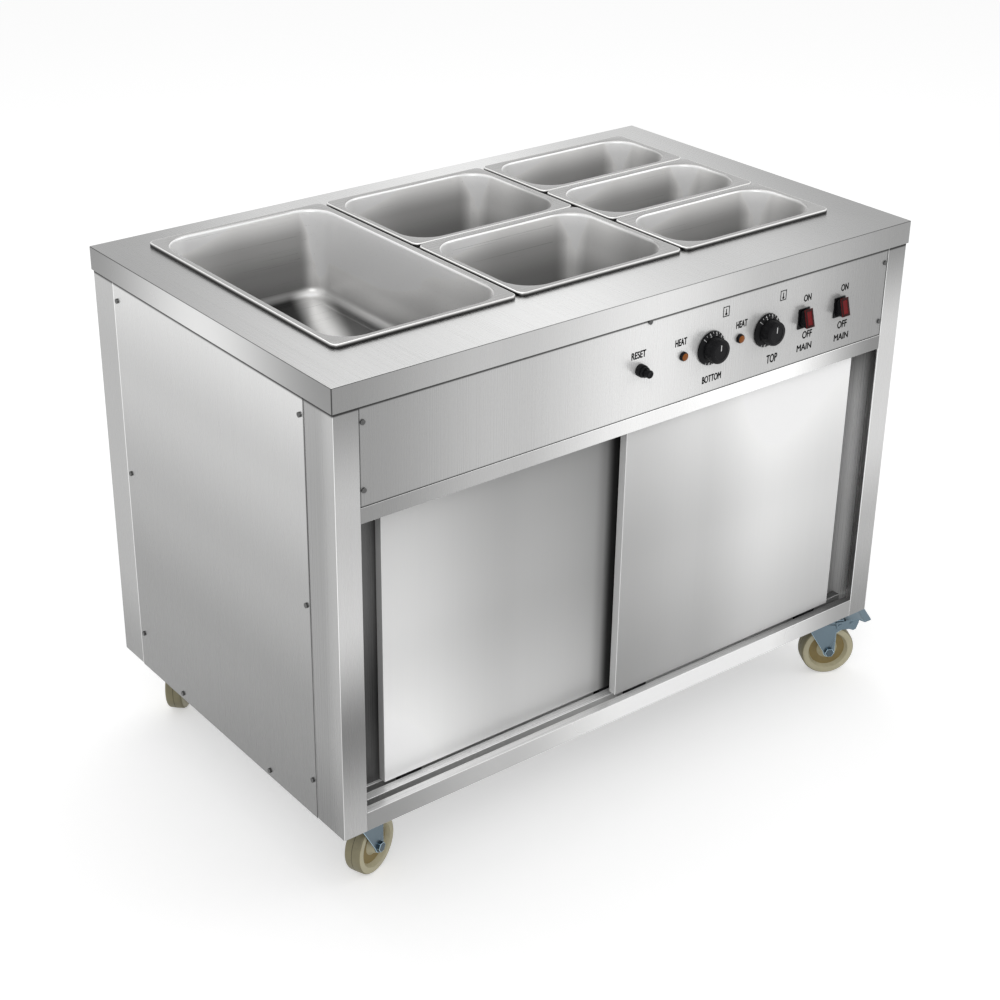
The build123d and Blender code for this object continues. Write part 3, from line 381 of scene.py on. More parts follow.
def joined(pieces):
    deselect()
    for piece in pieces:
        piece.select_set(True)
    bpy.context.view_layer.objects.active = pieces[0]
    if len(pieces) > 1:
        bpy.ops.object.join()
    return pieces[0]


def copy_of(piece, matrix=Matrix()):
    twin = piece.copy()
    twin.data = piece.data.copy()
    bpy.context.collection.objects.link(twin)
    place(twin, matrix)
    return twin


def pick_face(piece, direction):
    """Selects the one face that lies furthest along a direction."""
    mesh = bmesh.from_edit_mesh(piece.data)
    bpy.ops.mesh.select_mode(type="FACE")
    bpy.ops.mesh.select_all(action="DESELECT")
    way = Vector(direction)
    reach = {face: round(face.calc_center_median().dot(way), 6) for face in mesh.faces}
    best = max(mesh.faces, key=lambda face: (reach[face], face.calc_area()))
    best.select = True
    mesh.select_flush(True)
    bmesh.update_edit_mesh(piece.data)


def rounded_plate(length, depth, corner, segments=10):
    """A flat rounded rectangle, one face, in edit mode."""
    deselect()
    bpy.ops.mesh.primitive_plane_add(size=1, location=(0, 0, 0))
    plate = bpy.context.object
    plate.scale = (length, depth, 1)
    settle(plate)
    bpy.ops.object.mode_set(mode="EDIT")
    bpy.ops.mesh.select_all(action="SELECT")
    bpy.ops.mesh.bevel(offset=corner, offset_type="OFFSET", segments=segments, affect="VERTICES")
    return plate


def turned(profile, steps=64):
    """A turned solid about Z from its half profile of (radius, height) points."""
    deselect()
    bpy.ops.mesh.primitive_plane_add(size=0.001, location=(0, 0, 0))
    piece = bpy.context.object
    bpy.ops.object.mode_set(mode="EDIT")
    mesh = bmesh.from_edit_mesh(piece.data)
    bpy.ops.mesh.select_mode(type="VERT")
    bpy.ops.mesh.select_all(action="DESELECT")
    mesh.verts.ensure_lookup_table()
    first = mesh.verts[0]
    for vert in mesh.verts:
        vert.select = vert is not first
    bmesh.update_edit_mesh(piece.data)
    start = Vector((profile[0][0], 0, profile[0][1])) - first.co
    bpy.ops.mesh.delete(type="VERT")
    bpy.ops.mesh.select_all(action="SELECT")
    bpy.ops.transform.translate(value=start)
    for (r0, z0), (r1, z1) in zip(profile, profile[1:]):
        bpy.ops.mesh.extrude_region_move(TRANSFORM_OT_translate={"value": (r1 - r0, 0, z1 - z0)})
    bpy.ops.mesh.select_all(action="SELECT")
    bpy.ops.mesh.spin(steps=steps, angle=TURN, center=(0, 0, 0), axis=(0, 0, 1))
    bpy.ops.mesh.select_all(action="SELECT")
    bpy.ops.mesh.remove_doubles(threshold=0.000002)
    bpy.ops.mesh.normals_make_consistent(inside=False)
    bpy.ops.object.mode_set(mode="OBJECT")
    smooth(piece)
    return piece


def block(low, high, bevel=0.0, segments=2):
    """A box between two corners, its edges rounded."""
    deselect()
    low, high = Vector(low), Vector(high)
    bpy.ops.mesh.primitive_cube_add(size=1, location=(low + high) / 2)
    piece = bpy.context.object
    piece.scale = high - low
    settle(piece)
    if bevel:
        modify(piece, "BEVEL", width=bevel, segments=segments, limit_method="ANGLE")
    smooth(piece)
    return piece


def centred_block(half_x, half_z, front, back, bevel=0.0):
    """A block round the Y axis, between two depths."""
    return block((-half_x, front, -half_z), (half_x, back, half_z), bevel)


def flat_text(text, height, thickness):
    """Centred letters as one thin mesh."""
    deselect()
    bpy.ops.object.text_add(location=(0, 0, 0))
    label = bpy.context.object
    label.data.body = text
    label.data.size = height
    label.data.extrude = thickness
    label.data.align_x = "CENTER"
    label.data.align_y = "CENTER"
    bpy.ops.object.convert(target="MESH")
    return bpy.context.object


def arc(centre, radius, start, stop, count):
    """Points of an arc in (radius, height), angles in degrees from the outward axis."""
    points = []
    for i in range(count + 1):
        turn = radians(start + (stop - start) * i / count)
        points.append((centre[0] + radius * cos(turn), centre[1] + radius * sin(turn)))
    return points


FACING_FRONT = Matrix.Rotation(radians(90), 4, "X")


def node_box(name):
    low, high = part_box(name)
    return Vector(low), Vector(high)


def joint_place(name):
    return Vector(JOINTS[name]["pos_m"])


# The sheet metal nodes keep their shape, with smooth bends, their own grain and painted light and shade

ALONG_X, ALONG_Y, ALONG_Z = (1, 0, 0), (0, 1, 0), (0, 0, 1)
RISE = (ALONG_Z, 0.137, 0.868)
DOOR_RISE = (ALONG_Z, 0.176, 0.672)
ACROSS_FRONT = (ALONG_X, -0.525, 0.525)
SIDE_SHADE = (ALONG_Z, 0.829, 0.8335, (1.0, 0.04))
# Painted light on the side panels, lighter towards the top, and a painted shade line in the seam at the front post
SIDE_TONES = [
    (*RISE, (0.28, 0.31, 0.41, 0.55, 0.76)),
    (ALONG_Y, -0.2687, -0.2657, (0.1, 1.0)),
    SIDE_SHADE,
]
# Painted light on the posts' sides, lighter towards the top
POST_SIDE = [(*RISE, (0.29, 0.42, 0.45, 0.46, 0.53)), SIDE_SHADE]
INTO_CUPBOARD = (ALONG_Y, -0.335, -0.30, (1.0, 0.15))
# Painted shade on the jambs, darker going into the cupboard
LEFT_JAMB = (ALONG_Y, -0.335, -0.30, (1.0, 0.28))
RIGHT_JAMB = (ALONG_Y, -0.335, -0.30, (1.0, 0.3))
# Painted shade line under the worktop's skirt
UNDER_SKIRT = (ALONG_Z, 0.8305, 0.833, (1.0, 0.15))
HIDDEN = 0.6
# Tones per sheet and facing are painted light: they stand in for reflections, highlights and shade
SHEETS = {
    "worktop": dict(
        # Painted reflections on each face, and painted shade darkening the folds
        bends=0.15,
        faces=dict(
            top=[((1, -0.45, 0), -0.7, 0.7, (0.34, 0.64, 0.84, 0.60, 0.33))],
            front=[(ALONG_X, -0.57, 0.57, (0.29, 0.53, 0.79, 0.50, 0.32))],
            left=[(ALONG_Y, -0.344, 0.344, (0.28, 0.80, 0.28))],
            right=[(ALONG_Y, -0.344, 0.344, (0.28, 0.80, 0.28))],
        ),
    ),
    "control_panel": dict(
        metal=0.35,
        faces=dict(
            front=[
                # Painted highlight across the middle; painted shade lines at the bottom edge, in the end seams and
                # under the skirt
                (*ACROSS_FRONT, (0.37, 0.62, 0.98, 0.67, 0.38)),
                (ALONG_Z, 0.6836, 0.6856, (0.25, 1.0)),
                (ALONG_X, -0.5247, -0.5222, (0.1, 1.0)),
                (ALONG_X, 0.5222, 0.5247, (1.0, 0.1)),
                UNDER_SKIRT,
            ],
            back=HIDDEN,
        )
    ),
    "top_front_rail": dict(
        # Painted highlight right of the middle
        rest=0.25, faces=dict(front=[(*ACROSS_FRONT, (0.29, 0.50, 0.90, 1.10, 0.24))])
    ),
    "bottom_front_rail": dict(
        grain="XZ",
        rest=0.3,
        metal=0.3,
        streak=0.008,
        relief=0.004,
        faces=dict(
            # Painted light: a highlight across the front, shade towards the back of the lip, darker towards the
            # right on the top, and painted shade in the groove's floor
            front=[
                (*ACROSS_FRONT, (0.37, 0.65, 1.10, 1.20, 0.42)),
                (ALONG_Y, -0.338, -0.325, (1.0, 0.7)),
            ],
            top=[(*ACROSS_FRONT, (1.0, 0.95, 0.75, 0.16)), (ALONG_Z, 0.157, 0.169, (0.8, 1.0))],
            back=0.6,
        ),
    ),
    # Posts: painted highlights on their faces, painted shade into the jambs and under the skirt
    "front_left_post": dict(
        grain="Z",
        rest=0.15,
        metal=INTO_CUPBOARD,
        faces=dict(
            left=POST_SIDE,
            front=[(*RISE, (0.49, 0.23, 0.62, 0.52, 0.28)), LEFT_JAMB, UNDER_SKIRT],
        ),
    ),
    "front_right_post": dict(
        grain="Z",
        rest=0.15,
        metal=INTO_CUPBOARD,
        faces=dict(
            right=POST_SIDE,
            left=[(*RISE, (0.9, 1.0, 1.2, 0.5, 0.4))],
            front=[(*RISE, (0.30, 0.45, 0.65, 0.62, 0.24)), RIGHT_JAMB, UNDER_SKIRT],
        ),
    ),
    "back_left_post": dict(grain="Z", rest=0.3, faces=dict(left=POST_SIDE, back=0.5)),
    "back_right_post": dict(grain="Z", rest=0.3, faces=dict(right=POST_SIDE, back=0.5)),
    "left_side_panel": dict(grain="XZ", faces=dict(left=SIDE_TONES, right=HIDDEN)),
    "right_side_panel": dict(grain="XZ", faces=dict(right=SIDE_TONES, left=HIDDEN)),
    "back_panel": dict(
        faces=dict(back=[(*ACROSS_FRONT, (0.33, 0.55, 0.77, 0.58, 0.34))], front=HIDDEN)
    ),
    "left_door": dict(
        roughness=0.36,
        metal=0.25,
        streak=0.008,
        faces=dict(
            front=[
                # Painted light across the door, brighter towards the left and the bottom
                (ALONG_X, -0.464, 0.036, (0.88, 0.54, 0.38)),
                (*DOOR_RISE, (1.40, 1.00, 0.82)),
                # Painted shadow that the right door casts near the left door's right edge
                (ALONG_X, -0.060, -0.020, (1.0, 0.85, 0.12)),
            ],
            left=0.8,
            back=HIDDEN,
        ),
    ),
    "right_door": dict(
        roughness=0.36,
        metal=0.25,
        streak=0.008,
        faces=dict(
            front=[
                # Painted light, brightest right of the middle and towards the top
                (ALONG_X, -0.024, 0.476, (0.64, 0.82, 1.15, 1.0)),
                (*DOOR_RISE, (0.62, 0.82, 1.12)),
            ],
            left=0.8,
            back=HIDDEN,
        ),
    ),
    "well_tank": dict(grain="X", rest=0.6),
    "pan_support_bars": dict(grain="X", rest=0.6),
    "body_rails": dict(grain="X", rest=0.55, metal=0.2),
    "cupboard_floor": dict(grain="X", rest=0.55, metal=0.2),
    "cupboard_ceiling": dict(grain="X", rest=0.55, metal=0.2),
    "heater_cover": dict(grain="X", rest=0.65, metal=0.2),
    "panel_bracket": dict(rest=0.3),
}


def body_of_node(node):
    bodies = frame["record"]["behaviour"]["bodies"]
    return next(body for body, nodes in bodies.items() if node in nodes)


def smooth_copy(node, name, material, angle=50, bevel=0.0, edges=None):
    """A merged copy of a node with smooth bends, which stands for it."""
    twin = NODES[node].copy()
    twin.data = NODES[node].data.copy()
    twin.parent = None
    bpy.context.collection.objects.link(twin)
    twin.matrix_world = NODES[node].matrix_world.copy()
    settle(twin)
    merge_corners(twin)
    if bevel:
        twin.data.materials.clear()
        twin.data.materials.append(material)
        twin.data.materials.append(edges)
        settings = dict(width=bevel, segments=2, limit_method="ANGLE", angle_limit=radians(40))
        modify(twin, "BEVEL", material=1, **settings)
        material = None
    smooth(twin, angle)
    modify(twin, "WEIGHTED_NORMAL", keep_sharp=True)
    parts = frame["record"]["subparts"]
    slot = next(part["material_slot"] for part in parts if part["node"] == node)
    return finish_piece(twin, name, material, body_of_node(node), slot, node)


class BM_OT_sheets(bpy.types.Operator):
    """Finishes the folded sheets of the cabinet, with painted light and shade"""

    bl_idname = "bain_marie.sheets"
    bl_label = "Folded sheets"

    def execute(self, context):
        for node, finish in SHEETS.items():
            smooth_copy(node, f"{node}_sheet", satin_steel(f"steel {node}", **finish))
        return {"FINISHED"}


# Pressed food pans

RIM_CORNER = 0.012


class BM_OT_pans(bpy.types.Operator):
    """Models the pressed food pans"""

    bl_idname = "bain_marie.pans"
    bl_label = "Food pans"

    def execute(self, context):
        pan_steel = dict(grain="X", colour=colours().pan_steel, streak=0.01)
        rim = satin_steel("pan rim steel", rest=0.42, roughness=0.25, bends=1.0, **pan_steel)
        # Painted shadow on the lower hem under a painted highlight along its top
        hem_shadow_and_highlight = (ALONG_Z, 0.875, 0.881, (0.03, 0.04, 0.12, 0.50, 0.95))
        hem_faces = {side: [hem_shadow_and_highlight] for side in FACINGS}
        hem = satin_steel("pan hem steel", bends=1.0, faces=hem_faces, roughness=0.3, **pan_steel)
        for node in NODES:
            if node.endswith("_pan") or node.startswith(("half_pan", "third_pan")):
                low, high = node_box(node)
                middle = (low + high) / 2
                pan = self.press(high.x - low.x, high.y - low.y)
                place(pan, Matrix.Translation((middle.x, middle.y, high.z)))
                bowl = self.bowl_steel(node, low, high, pan_steel)
                self.zone(pan, low, high, [rim, hem, bowl])
                finish_piece(pan, f"{node}_pressing", None, node, "pan_steel", node)
        return {"FINISHED"}

    def bowl_steel(self, node, low, high, pan_steel):
        """Bowl steel with painted light: painted shade darkening the walls towards the floor, painted highlights
        in the corners and a painted reflection band of light across the floor.
        """
        across = Vector((0.93, -0.37, 0))
        light = 1.1 if node == "full_pan" else 0.55
        lit = tuple(tone * light for tone in (0.4, 0.8, 1.3, 1.6))
        middle = across.dot((low + high) / 2)
        band_start, band_stop = middle - 0.058, middle + 0.102
        wall = (ALONG_Z, 0.735, 0.88)
        # Painted reflection across the floor: a bright band between dark areas
        band = (tuple(across), band_start, band_stop, (0.02, 0.03, 1.0, 0.10, 0.08))
        faces = dict(
            front=[(*wall, (0.22, 0.34, 0.52, 1.1)), (ALONG_X, low.x, high.x, (1.7, 1.0, 0.9))],
            left=[(*wall, lit), (ALONG_Y, low.y, high.y, (0.4, 0.7, 1.2, 1.2))],
            back=[(*wall, (0.5, 0.8))],
            right=[(*wall, (0.5, 0.8))],
            top=[band],
        )
        return satin_steel(
            f"bowl steel {node}", faces=faces, roughness=0.3, bends=1.7, metal=0.4, **pan_steel
        )

    def zone(self, pan, low, high, finishes):
        """Rim, turned down hem and bowl each get their own finish."""
        corner = RIM_CORNER
        hem_width = 0.0022
        mouth_inset = 0.008
        flange_drop = 0.0013
        middle = (low + high) / 2

        def zone_of(centre):
            across = abs(centre.x - middle.x) - (high.x - low.x) / 2 + corner
            along = abs(centre.y - middle.y) - (high.y - low.y) / 2 + corner
            inset = corner - max(across, along, Vector((max(across, 0), max(along, 0))).length)
            if inset < hem_width:
                return 1
            return 2 if centre.z < high.z - flange_drop and inset > mouth_inset else 0

        zoned(pan, finishes, zone_of)

    def press(self, length, depth):
        """One pan with its rim's top at height 0."""
        s = sizes()
        hem_round = 0.002
        mouth_round = 0.0045
        edge = s.mouth_corner + mouth_round
        skin_x = length - 2 * s.rim_width + 2 * mouth_round
        skin_y = depth - 2 * s.rim_width + 2 * mouth_round
        outer = rounded_plate(length, depth, RIM_CORNER)
        bpy.ops.mesh.extrude_region_move(
            TRANSFORM_OT_translate={"value": (0, 0, s.rim_height - hem_round)}
        )
        for i in range(4):
            a, b = radians(90 * i / 4), radians(90 * (i + 1) / 4)
            bpy.ops.mesh.inset(
                thickness=hem_round * (cos(a) - cos(b)), depth=hem_round * (sin(b) - sin(a))
            )
        bpy.ops.mesh.delete(type="ONLY_FACE")
        pick_face(outer, (0, 0, -1))
        bpy.ops.mesh.delete(type="ONLY_FACE")
        bpy.ops.object.mode_set(mode="OBJECT")
        place(outer, Matrix.Translation((0, 0, -s.rim_height)))

        bowl = rounded_plate(skin_x, skin_y, edge)
        slopes = (0, 18, 36, 54, 72, 86)
        for start, stop in zip(slopes, slopes[1:]):
            self.step(mouth_round, start, stop)
        straight = s.pan_depth - s.pan_sheet - mouth_round - s.foot_radius
        for share in (0.15, 0.35, 0.35, 0.15):
            bpy.ops.mesh.inset(thickness=straight * share * tan(s.draft), depth=-straight * share)
        count = 7
        for i in range(count):
            a = s.draft + (pi / 2 - s.draft) * i / count
            b = s.draft + (pi / 2 - s.draft) * (i + 1) / count
            bpy.ops.mesh.inset(
                thickness=s.foot_radius * (cos(a) - cos(b)),
                depth=-s.foot_radius * (sin(b) - sin(a)),
            )
        for width, drop in ((0.004, 0), (0.0015, 0.0006), (0.0015, 0.0004), (0.004, 0)):
            bpy.ops.mesh.inset(thickness=width, depth=-drop)
        bpy.ops.object.mode_set(mode="OBJECT")
        pan = joined([outer, bowl])
        only(pan)
        bpy.ops.object.mode_set(mode="EDIT")
        mesh = bmesh.from_edit_mesh(pan.data)
        bpy.ops.mesh.select_mode(type="EDGE")
        bpy.ops.mesh.select_all(action="DESELECT")
        for border in mesh.edges:
            border.select = border.is_boundary and all(abs(v.co.z) < 0.0005 for v in border.verts)
        bmesh.update_edit_mesh(pan.data)
        bpy.ops.mesh.bridge_edge_loops()
        bpy.ops.mesh.select_all(action="SELECT")
        bpy.ops.mesh.normals_make_consistent(inside=False)
        bpy.ops.object.mode_set(mode="OBJECT")
        top = max(pan.data.polygons, key=lambda face: face.area)
        if top.normal.z < 0:
            pan.data.flip_normals()
        modify(pan, "SOLIDIFY", thickness=s.pan_sheet, offset=-1)
        smooth(pan, 30)
        return pan

    def step(self, radius, start, stop):
        """One step of a rounded edge that turns from flat to steep."""
        a, b = radians(start), radians(stop)
        bpy.ops.mesh.inset(thickness=radius * (sin(b) - sin(a)), depth=-radius * (cos(a) - cos(b)))


# Castors


class BM_OT_castors(bpy.types.Operator):
    """Models the castor wheels and finishes their metal"""

    bl_idname = "bain_marie.castors"
    bl_label = "Castors"

    def execute(self, context):
        nylon = moulded("cream nylon", colours().nylon, 0.45, 0.05, 60.0, shine=0.4)
        # Painted shade: the tread and the dished web are darker copies of the nylon's colour
        edge = moulded("cream nylon tread shade", (0.27, 0.245, 0.155), 0.5, 0.1, 60.0, shine=0.3)
        web = moulded("shaded nylon web", (0.27, 0.205, 0.085), 0.5, 0.1, 60.0, shine=0.3)
        seam = moulded("brown mould line", (0.07, 0.055, 0.03), 0.5, 0.1, 60.0, shine=0.2)
        plating = dict(grain="Z", colour=colours().zinc, bends=1.0)
        zinc = satin_steel("zinc plate", rest=1.0, roughness=0.35, **plating)
        # Painted highlight on the bevelled edges of the plated pieces
        edge_highlight = satin_steel("zinc edge highlight", rest=3.2, roughness=0.25, **plating)
        heads = satin_steel("axle zinc", rest=0.6, roughness=0.25, **plating)
        rounded = dict(bevel=0.0007, edges=edge_highlight)
        wheel = self.wheel()
        radius = sizes().wheel_radius
        seam_depth, seam_half = 0.003, 0.0012
        edge_depth = 0.0022
        web_start, web_stop = 0.0215, radius - 0.015

        def zone_of(centre):
            out = Vector((centre.x, centre.y)).length
            if out > radius - seam_depth and abs(centre.z) < seam_half:
                return 3
            # The tread and the dished web take the painted shade
            if out > radius - edge_depth:
                return 1
            return 2 if web_start < out < web_stop else 0

        zoned(wheel, [nylon, edge, web, seam], zone_of)
        for corner in ("front_left", "front_right", "back_left", "back_right"):
            joint = JOINTS[f"{corner}_wheel_spin"]
            axis = Vector(joint["axis"])
            turn = Vector((0, 0, 1)).rotation_difference(axis).to_matrix().to_4x4()
            twin = copy_of(wheel, Matrix.Translation(joint["pos_m"]) @ turn)
            node = f"{corner}_wheel"
            finish_piece(twin, f"{corner}_nylon_wheel", None, node, "cream_nylon", node)
            smooth_copy(f"{corner}_fork", f"{corner}_plated_fork", zinc, **rounded)
            smooth_copy(f"{corner}_axle", f"{corner}_plated_axle", heads, **rounded)
        for corner in ("front_left", "front_right"):
            smooth_copy(f"{corner}_brake_pedal", f"{corner}_plated_pedal", zinc, **rounded)
        bpy.data.objects.remove(wheel)
        smooth_copy("castor_plates", "castor_plates_plated", zinc)
        smooth_copy("castor_bolts", "castor_bolts_plated", heads)
        return {"FINISHED"}

    def wheel(self):
        """A moulded wheel about Z: crowned tread, dished web and hub."""
        r = sizes().wheel_radius
        half = sizes().wheel_width / 2
        bore = 0.0051
        side = [
            (r, 0.0004),
            (r - 0.0002, 0.006),
            *arc((r - 0.0052, half - 0.005), 0.005, 10, 88, 5),
            (r - 0.012, half - 0.0005),
            (r - 0.0135, half - 0.003),
            (r - 0.016, half - 0.0085),
            (0.019, half - 0.008),
            (0.0145, half - 0.004),
            (0.012, half + 0.0015),
            (0.0112, half + 0.002),
            (bore, half + 0.002),
        ]
        other = [(x, -z) for x, z in reversed(side)]
        profile = [*other, (r - 0.0004, 0), *side, (bore, -half - 0.002)]
        return turned(profile, 96)


# Controls


class BM_OT_controls(bpy.types.Operator):
    """Models the knobs, lamps, switches and reset button"""

    bl_idname = "bain_marie.controls"
    bl_label = "Controls"

    def execute(self, context):
        self.black = moulded("black moulding", colours().black, 0.42, 0.2, shine=0.12)
        self.white = moulded("white print", (0.75, 0.75, 0.75), 0.5)
        self.knobs()
        self.lamps()
        self.switches()
        self.reset()
        return {"FINISHED"}

    def knobs(self):
        flutes, flute_radius, flute_ring = 7, 0.0075, 0.0262
        for node in ("bottom_knob", "top_knob"):
            centre = joint_place(f"{node}_turn")
            reach = centre.y - node_box(node)[0].y
            skirt = turned(
                [(0, -0.001), (0.0272, -0.001), (0.028, -0.0002), (0.028, 0.0005)]
                + [(0.0272, 0.0022), (0.0225, 0.0048), (0.0195, 0.0055), (0, 0.0055)]
            )
            place(skirt, Matrix.Translation((0, 0, 0.002)))
            cap = turned(
                [(0, 0.003), (0.0205, 0.003), (0.0213, 0.005)]
                + [(0.0200, reach - 0.004), (0.0192, reach - 0.0015), (0.0175, reach - 0.0003)]
                + [(0.0130, reach), (0.0122, reach - 0.0006), (0.0, reach - 0.0006)],
                96,
            )
            for i in range(flutes):
                turn = TURN * (i + 0.5) / flutes
                deselect()
                bpy.ops.mesh.primitive_cylinder_add(
                    vertices=48,
                    radius=flute_radius,
                    depth=0.06,
                    location=(flute_ring * cos(turn), flute_ring * sin(turn), 0.037),
                )
                flute = bpy.context.object
                modify(cap, "BOOLEAN", operation="DIFFERENCE", object=flute, solver="EXACT")
                bpy.data.objects.remove(flute)
            edge = dict(segments=2, limit_method="ANGLE", angle_limit=radians(40))
            modify(cap, "BEVEL", width=0.0008, **edge)
            smooth(cap, 40)
            knob = joined([skirt, cap])
            place(knob, Matrix.Translation(centre) @ FACING_FRONT)
            finish_piece(knob, f"{node}_moulding", self.black, node, "black_plastic", node)
            self.dial(node, centre)

    def dial(self, node, centre):
        """Plain numbers and ticks round the skirt, and a pointer on the cap."""
        marks = []
        count, first, pitch = 9, 135, 30
        for i in range(count):
            marks.append(self.number(i + 1, radians(first - pitch * i)))
        for i in range(2 * count):
            turn = radians(first - pitch / 2 * i)
            tick = block((0.0248, -0.0004, 0), (0.0276, 0.0004, 0.0003))
            place(tick, Matrix.Rotation(turn, 4, "Z") @ Matrix.Translation((0, 0, 0.0052)))
            marks.append(tick)
        pointer = block((-0.0008, 0.002, 0.0244), (0.0008, 0.0118, 0.0247), 0.0001)
        marks.append(pointer)
        print_piece = joined(marks)
        place(print_piece, Matrix.Translation(centre) @ FACING_FRONT)
        finish_piece(print_piece, f"{node}_numbers", self.white, node, "white_nylon")

    def number(self, value, turn):
        """A number that lies on the slope of the skirt."""
        ring, lift, lean = 0.0235, 0.0063, radians(-20)
        label = flat_text(str(value), 0.0072, 0.0001)
        place(
            label,
            Matrix.Rotation(turn - pi / 2, 4, "Z")
            @ Matrix.Translation((0, ring, lift))
            @ Matrix.Rotation(lean, 4, "X"),
        )
        return label

    def lamps(self):
        amber = moulded("amber lens", colours().amber, 0.25, 0.15, 120.0, shine=0.25)
        low, high = node_box("indicator_lamps")
        front = joint_place("bottom_knob_turn").y
        height = (low.z + high.z) / 2
        shank, collar, glass = 0.006, 0.0075, 0.005
        profile = [(0, -0.02), (shank, -0.02), (shank, 0), (collar, 0)]
        profile += arc((0.0025, 0.002), glass, 0, 90, 8) + [(0, 0.007)]
        middles = [Vector((x, front, height)) for x in (low.x + collar, high.x - collar)]
        lenses = []
        for middle in middles:
            lens = turned(profile, 48)
            place(lens, Matrix.Translation(middle) @ FACING_FRONT)
            lenses.append(lens)
        piece = joined(lenses)

        def zone_of(centre):
            away = min(Vector((centre.x - m.x, centre.z - m.z)).length for m in middles)
            return 1 if away > shank else 0

        zoned(piece, [amber, self.black], zone_of)
        finish_piece(piece, "lamp_lenses", None, "cabinet", "amber_lens", "indicator_lamps")

    def switches(self):
        red = moulded("red rocker", (0.03, 0.001, 0.001), 0.3, 0.2, 90.0, shine=0.15)
        window = moulded("red window", colours().red, 0.25, 0.2, 90.0, shine=0.2)
        finishes = [self.black, red, window]
        lean = radians(-15)
        housings = []
        for node in ("first_rocker", "second_rocker"):
            centre = joint_place(f"{node}_tilt")
            bezel = centred_block(0.0125, 0.01725, -0.002, 0, 0.0006)
            body = centred_block(0.011, 0.0145, -0.0005, 0.026)
            pocket = centred_block(0.0098, 0.0135, -0.004, 0.009)
            for piece in (bezel, body):
                modify(piece, "BOOLEAN", operation="DIFFERENCE", object=pocket, solver="EXACT")
            bpy.data.objects.remove(pocket)
            housing = joined([bezel, body])
            place(housing, Matrix.Translation(centre))
            housings.append(housing)
            rocker = self.rocker()
            zoned(rocker, finishes, self.rocker_zone)
            place(rocker, Matrix.Translation(centre) @ Matrix.Rotation(lean, 4, "X"))
            finish_piece(rocker, f"{node}_moulding", None, node, "red_plastic", node)
        bezels = joined(housings)
        finish_piece(
            bezels, "switch_bezels", self.black, "cabinet", "black_plastic", "switch_housings"
        )

    def rocker_zone(self, centre):
        """Boot, window frame and window, by their depth."""
        boot_end, frame_start = -0.0135, -0.0149
        if centre.y > boot_end:
            return 0
        return 1 if centre.y < frame_start else 2

    def rocker(self):
        """A rocker level in its housing: a boot that widens to a framed face."""
        waist, taper = 0.0094, (0.326, 0.945)
        frame_width, step_width, step_depth = 0.0036, 0.0004, 0.0006
        piece = centred_block(0.0093, 0.0165, -0.015, 0.003)
        for side in (-1, 1):
            only(piece)
            bpy.ops.object.mode_set(mode="EDIT")
            bpy.ops.mesh.select_all(action="SELECT")
            bpy.ops.mesh.bisect(
                plane_co=(0, 0.003, side * waist),
                plane_no=(0, taper[0], side * taper[1]),
                use_fill=True,
                clear_outer=True,
            )
            bpy.ops.object.mode_set(mode="OBJECT")
        edge = dict(segments=3, limit_method="ANGLE", angle_limit=radians(30))
        modify(piece, "BEVEL", width=0.0008, **edge)
        only(piece)
        bpy.ops.object.mode_set(mode="EDIT")
        pick_face(piece, (0, -1, 0))
        bpy.ops.mesh.inset(thickness=frame_width)
        bpy.ops.mesh.inset(thickness=step_width, depth=-step_depth)
        bpy.ops.object.mode_set(mode="OBJECT")
        smooth(piece, 35)
        return piece

    def reset(self):
        front = joint_place("bottom_knob_turn").y
        low, high = node_box("reset_collar")
        centre = Vector(((low.x + high.x) / 2, front, (low.z + high.z) / 2))
        collar = turned(
            [(0, -0.024), (0.006, -0.024), (0.006, 0), (0.0098, 0), (0.01, 0.0006)]
            + [(0.01, 0.0035), (0.0094, 0.0042), (0.0094, 0.0048), (0.01, 0.0055), (0.01, 0.0084)]
            + [(0.0096, 0.009), (0.0086, 0.009), (0.0085, 0.0134), (0.0080, 0.014)]
            + [(0.0066, 0.014), (0.0066, 0.0068), (0, 0.0068)],
            48,
        )
        place(collar, Matrix.Translation(centre) @ FACING_FRONT)
        finish_piece(
            collar, "reset_collar_moulding", self.black, "cabinet", "black_plastic", "reset_collar"
        )
        button = turned(
            [(0, 0.0101), (0.0064, 0.0101), (0.0064, 0.019), (0.0065, 0.0225), (0.006, 0.0236)]
            + [(0.005, 0.024), (0.0042, 0.0234), (0, 0.0232)],
            48,
        )
        place(button, Matrix.Translation(centre) @ FACING_FRONT)
        finish_piece(
            button, "reset_button_cap", self.black, "reset_button", "black_plastic", "reset_button"
        )


# Panel legends

INK_HEIGHT = 0.00008


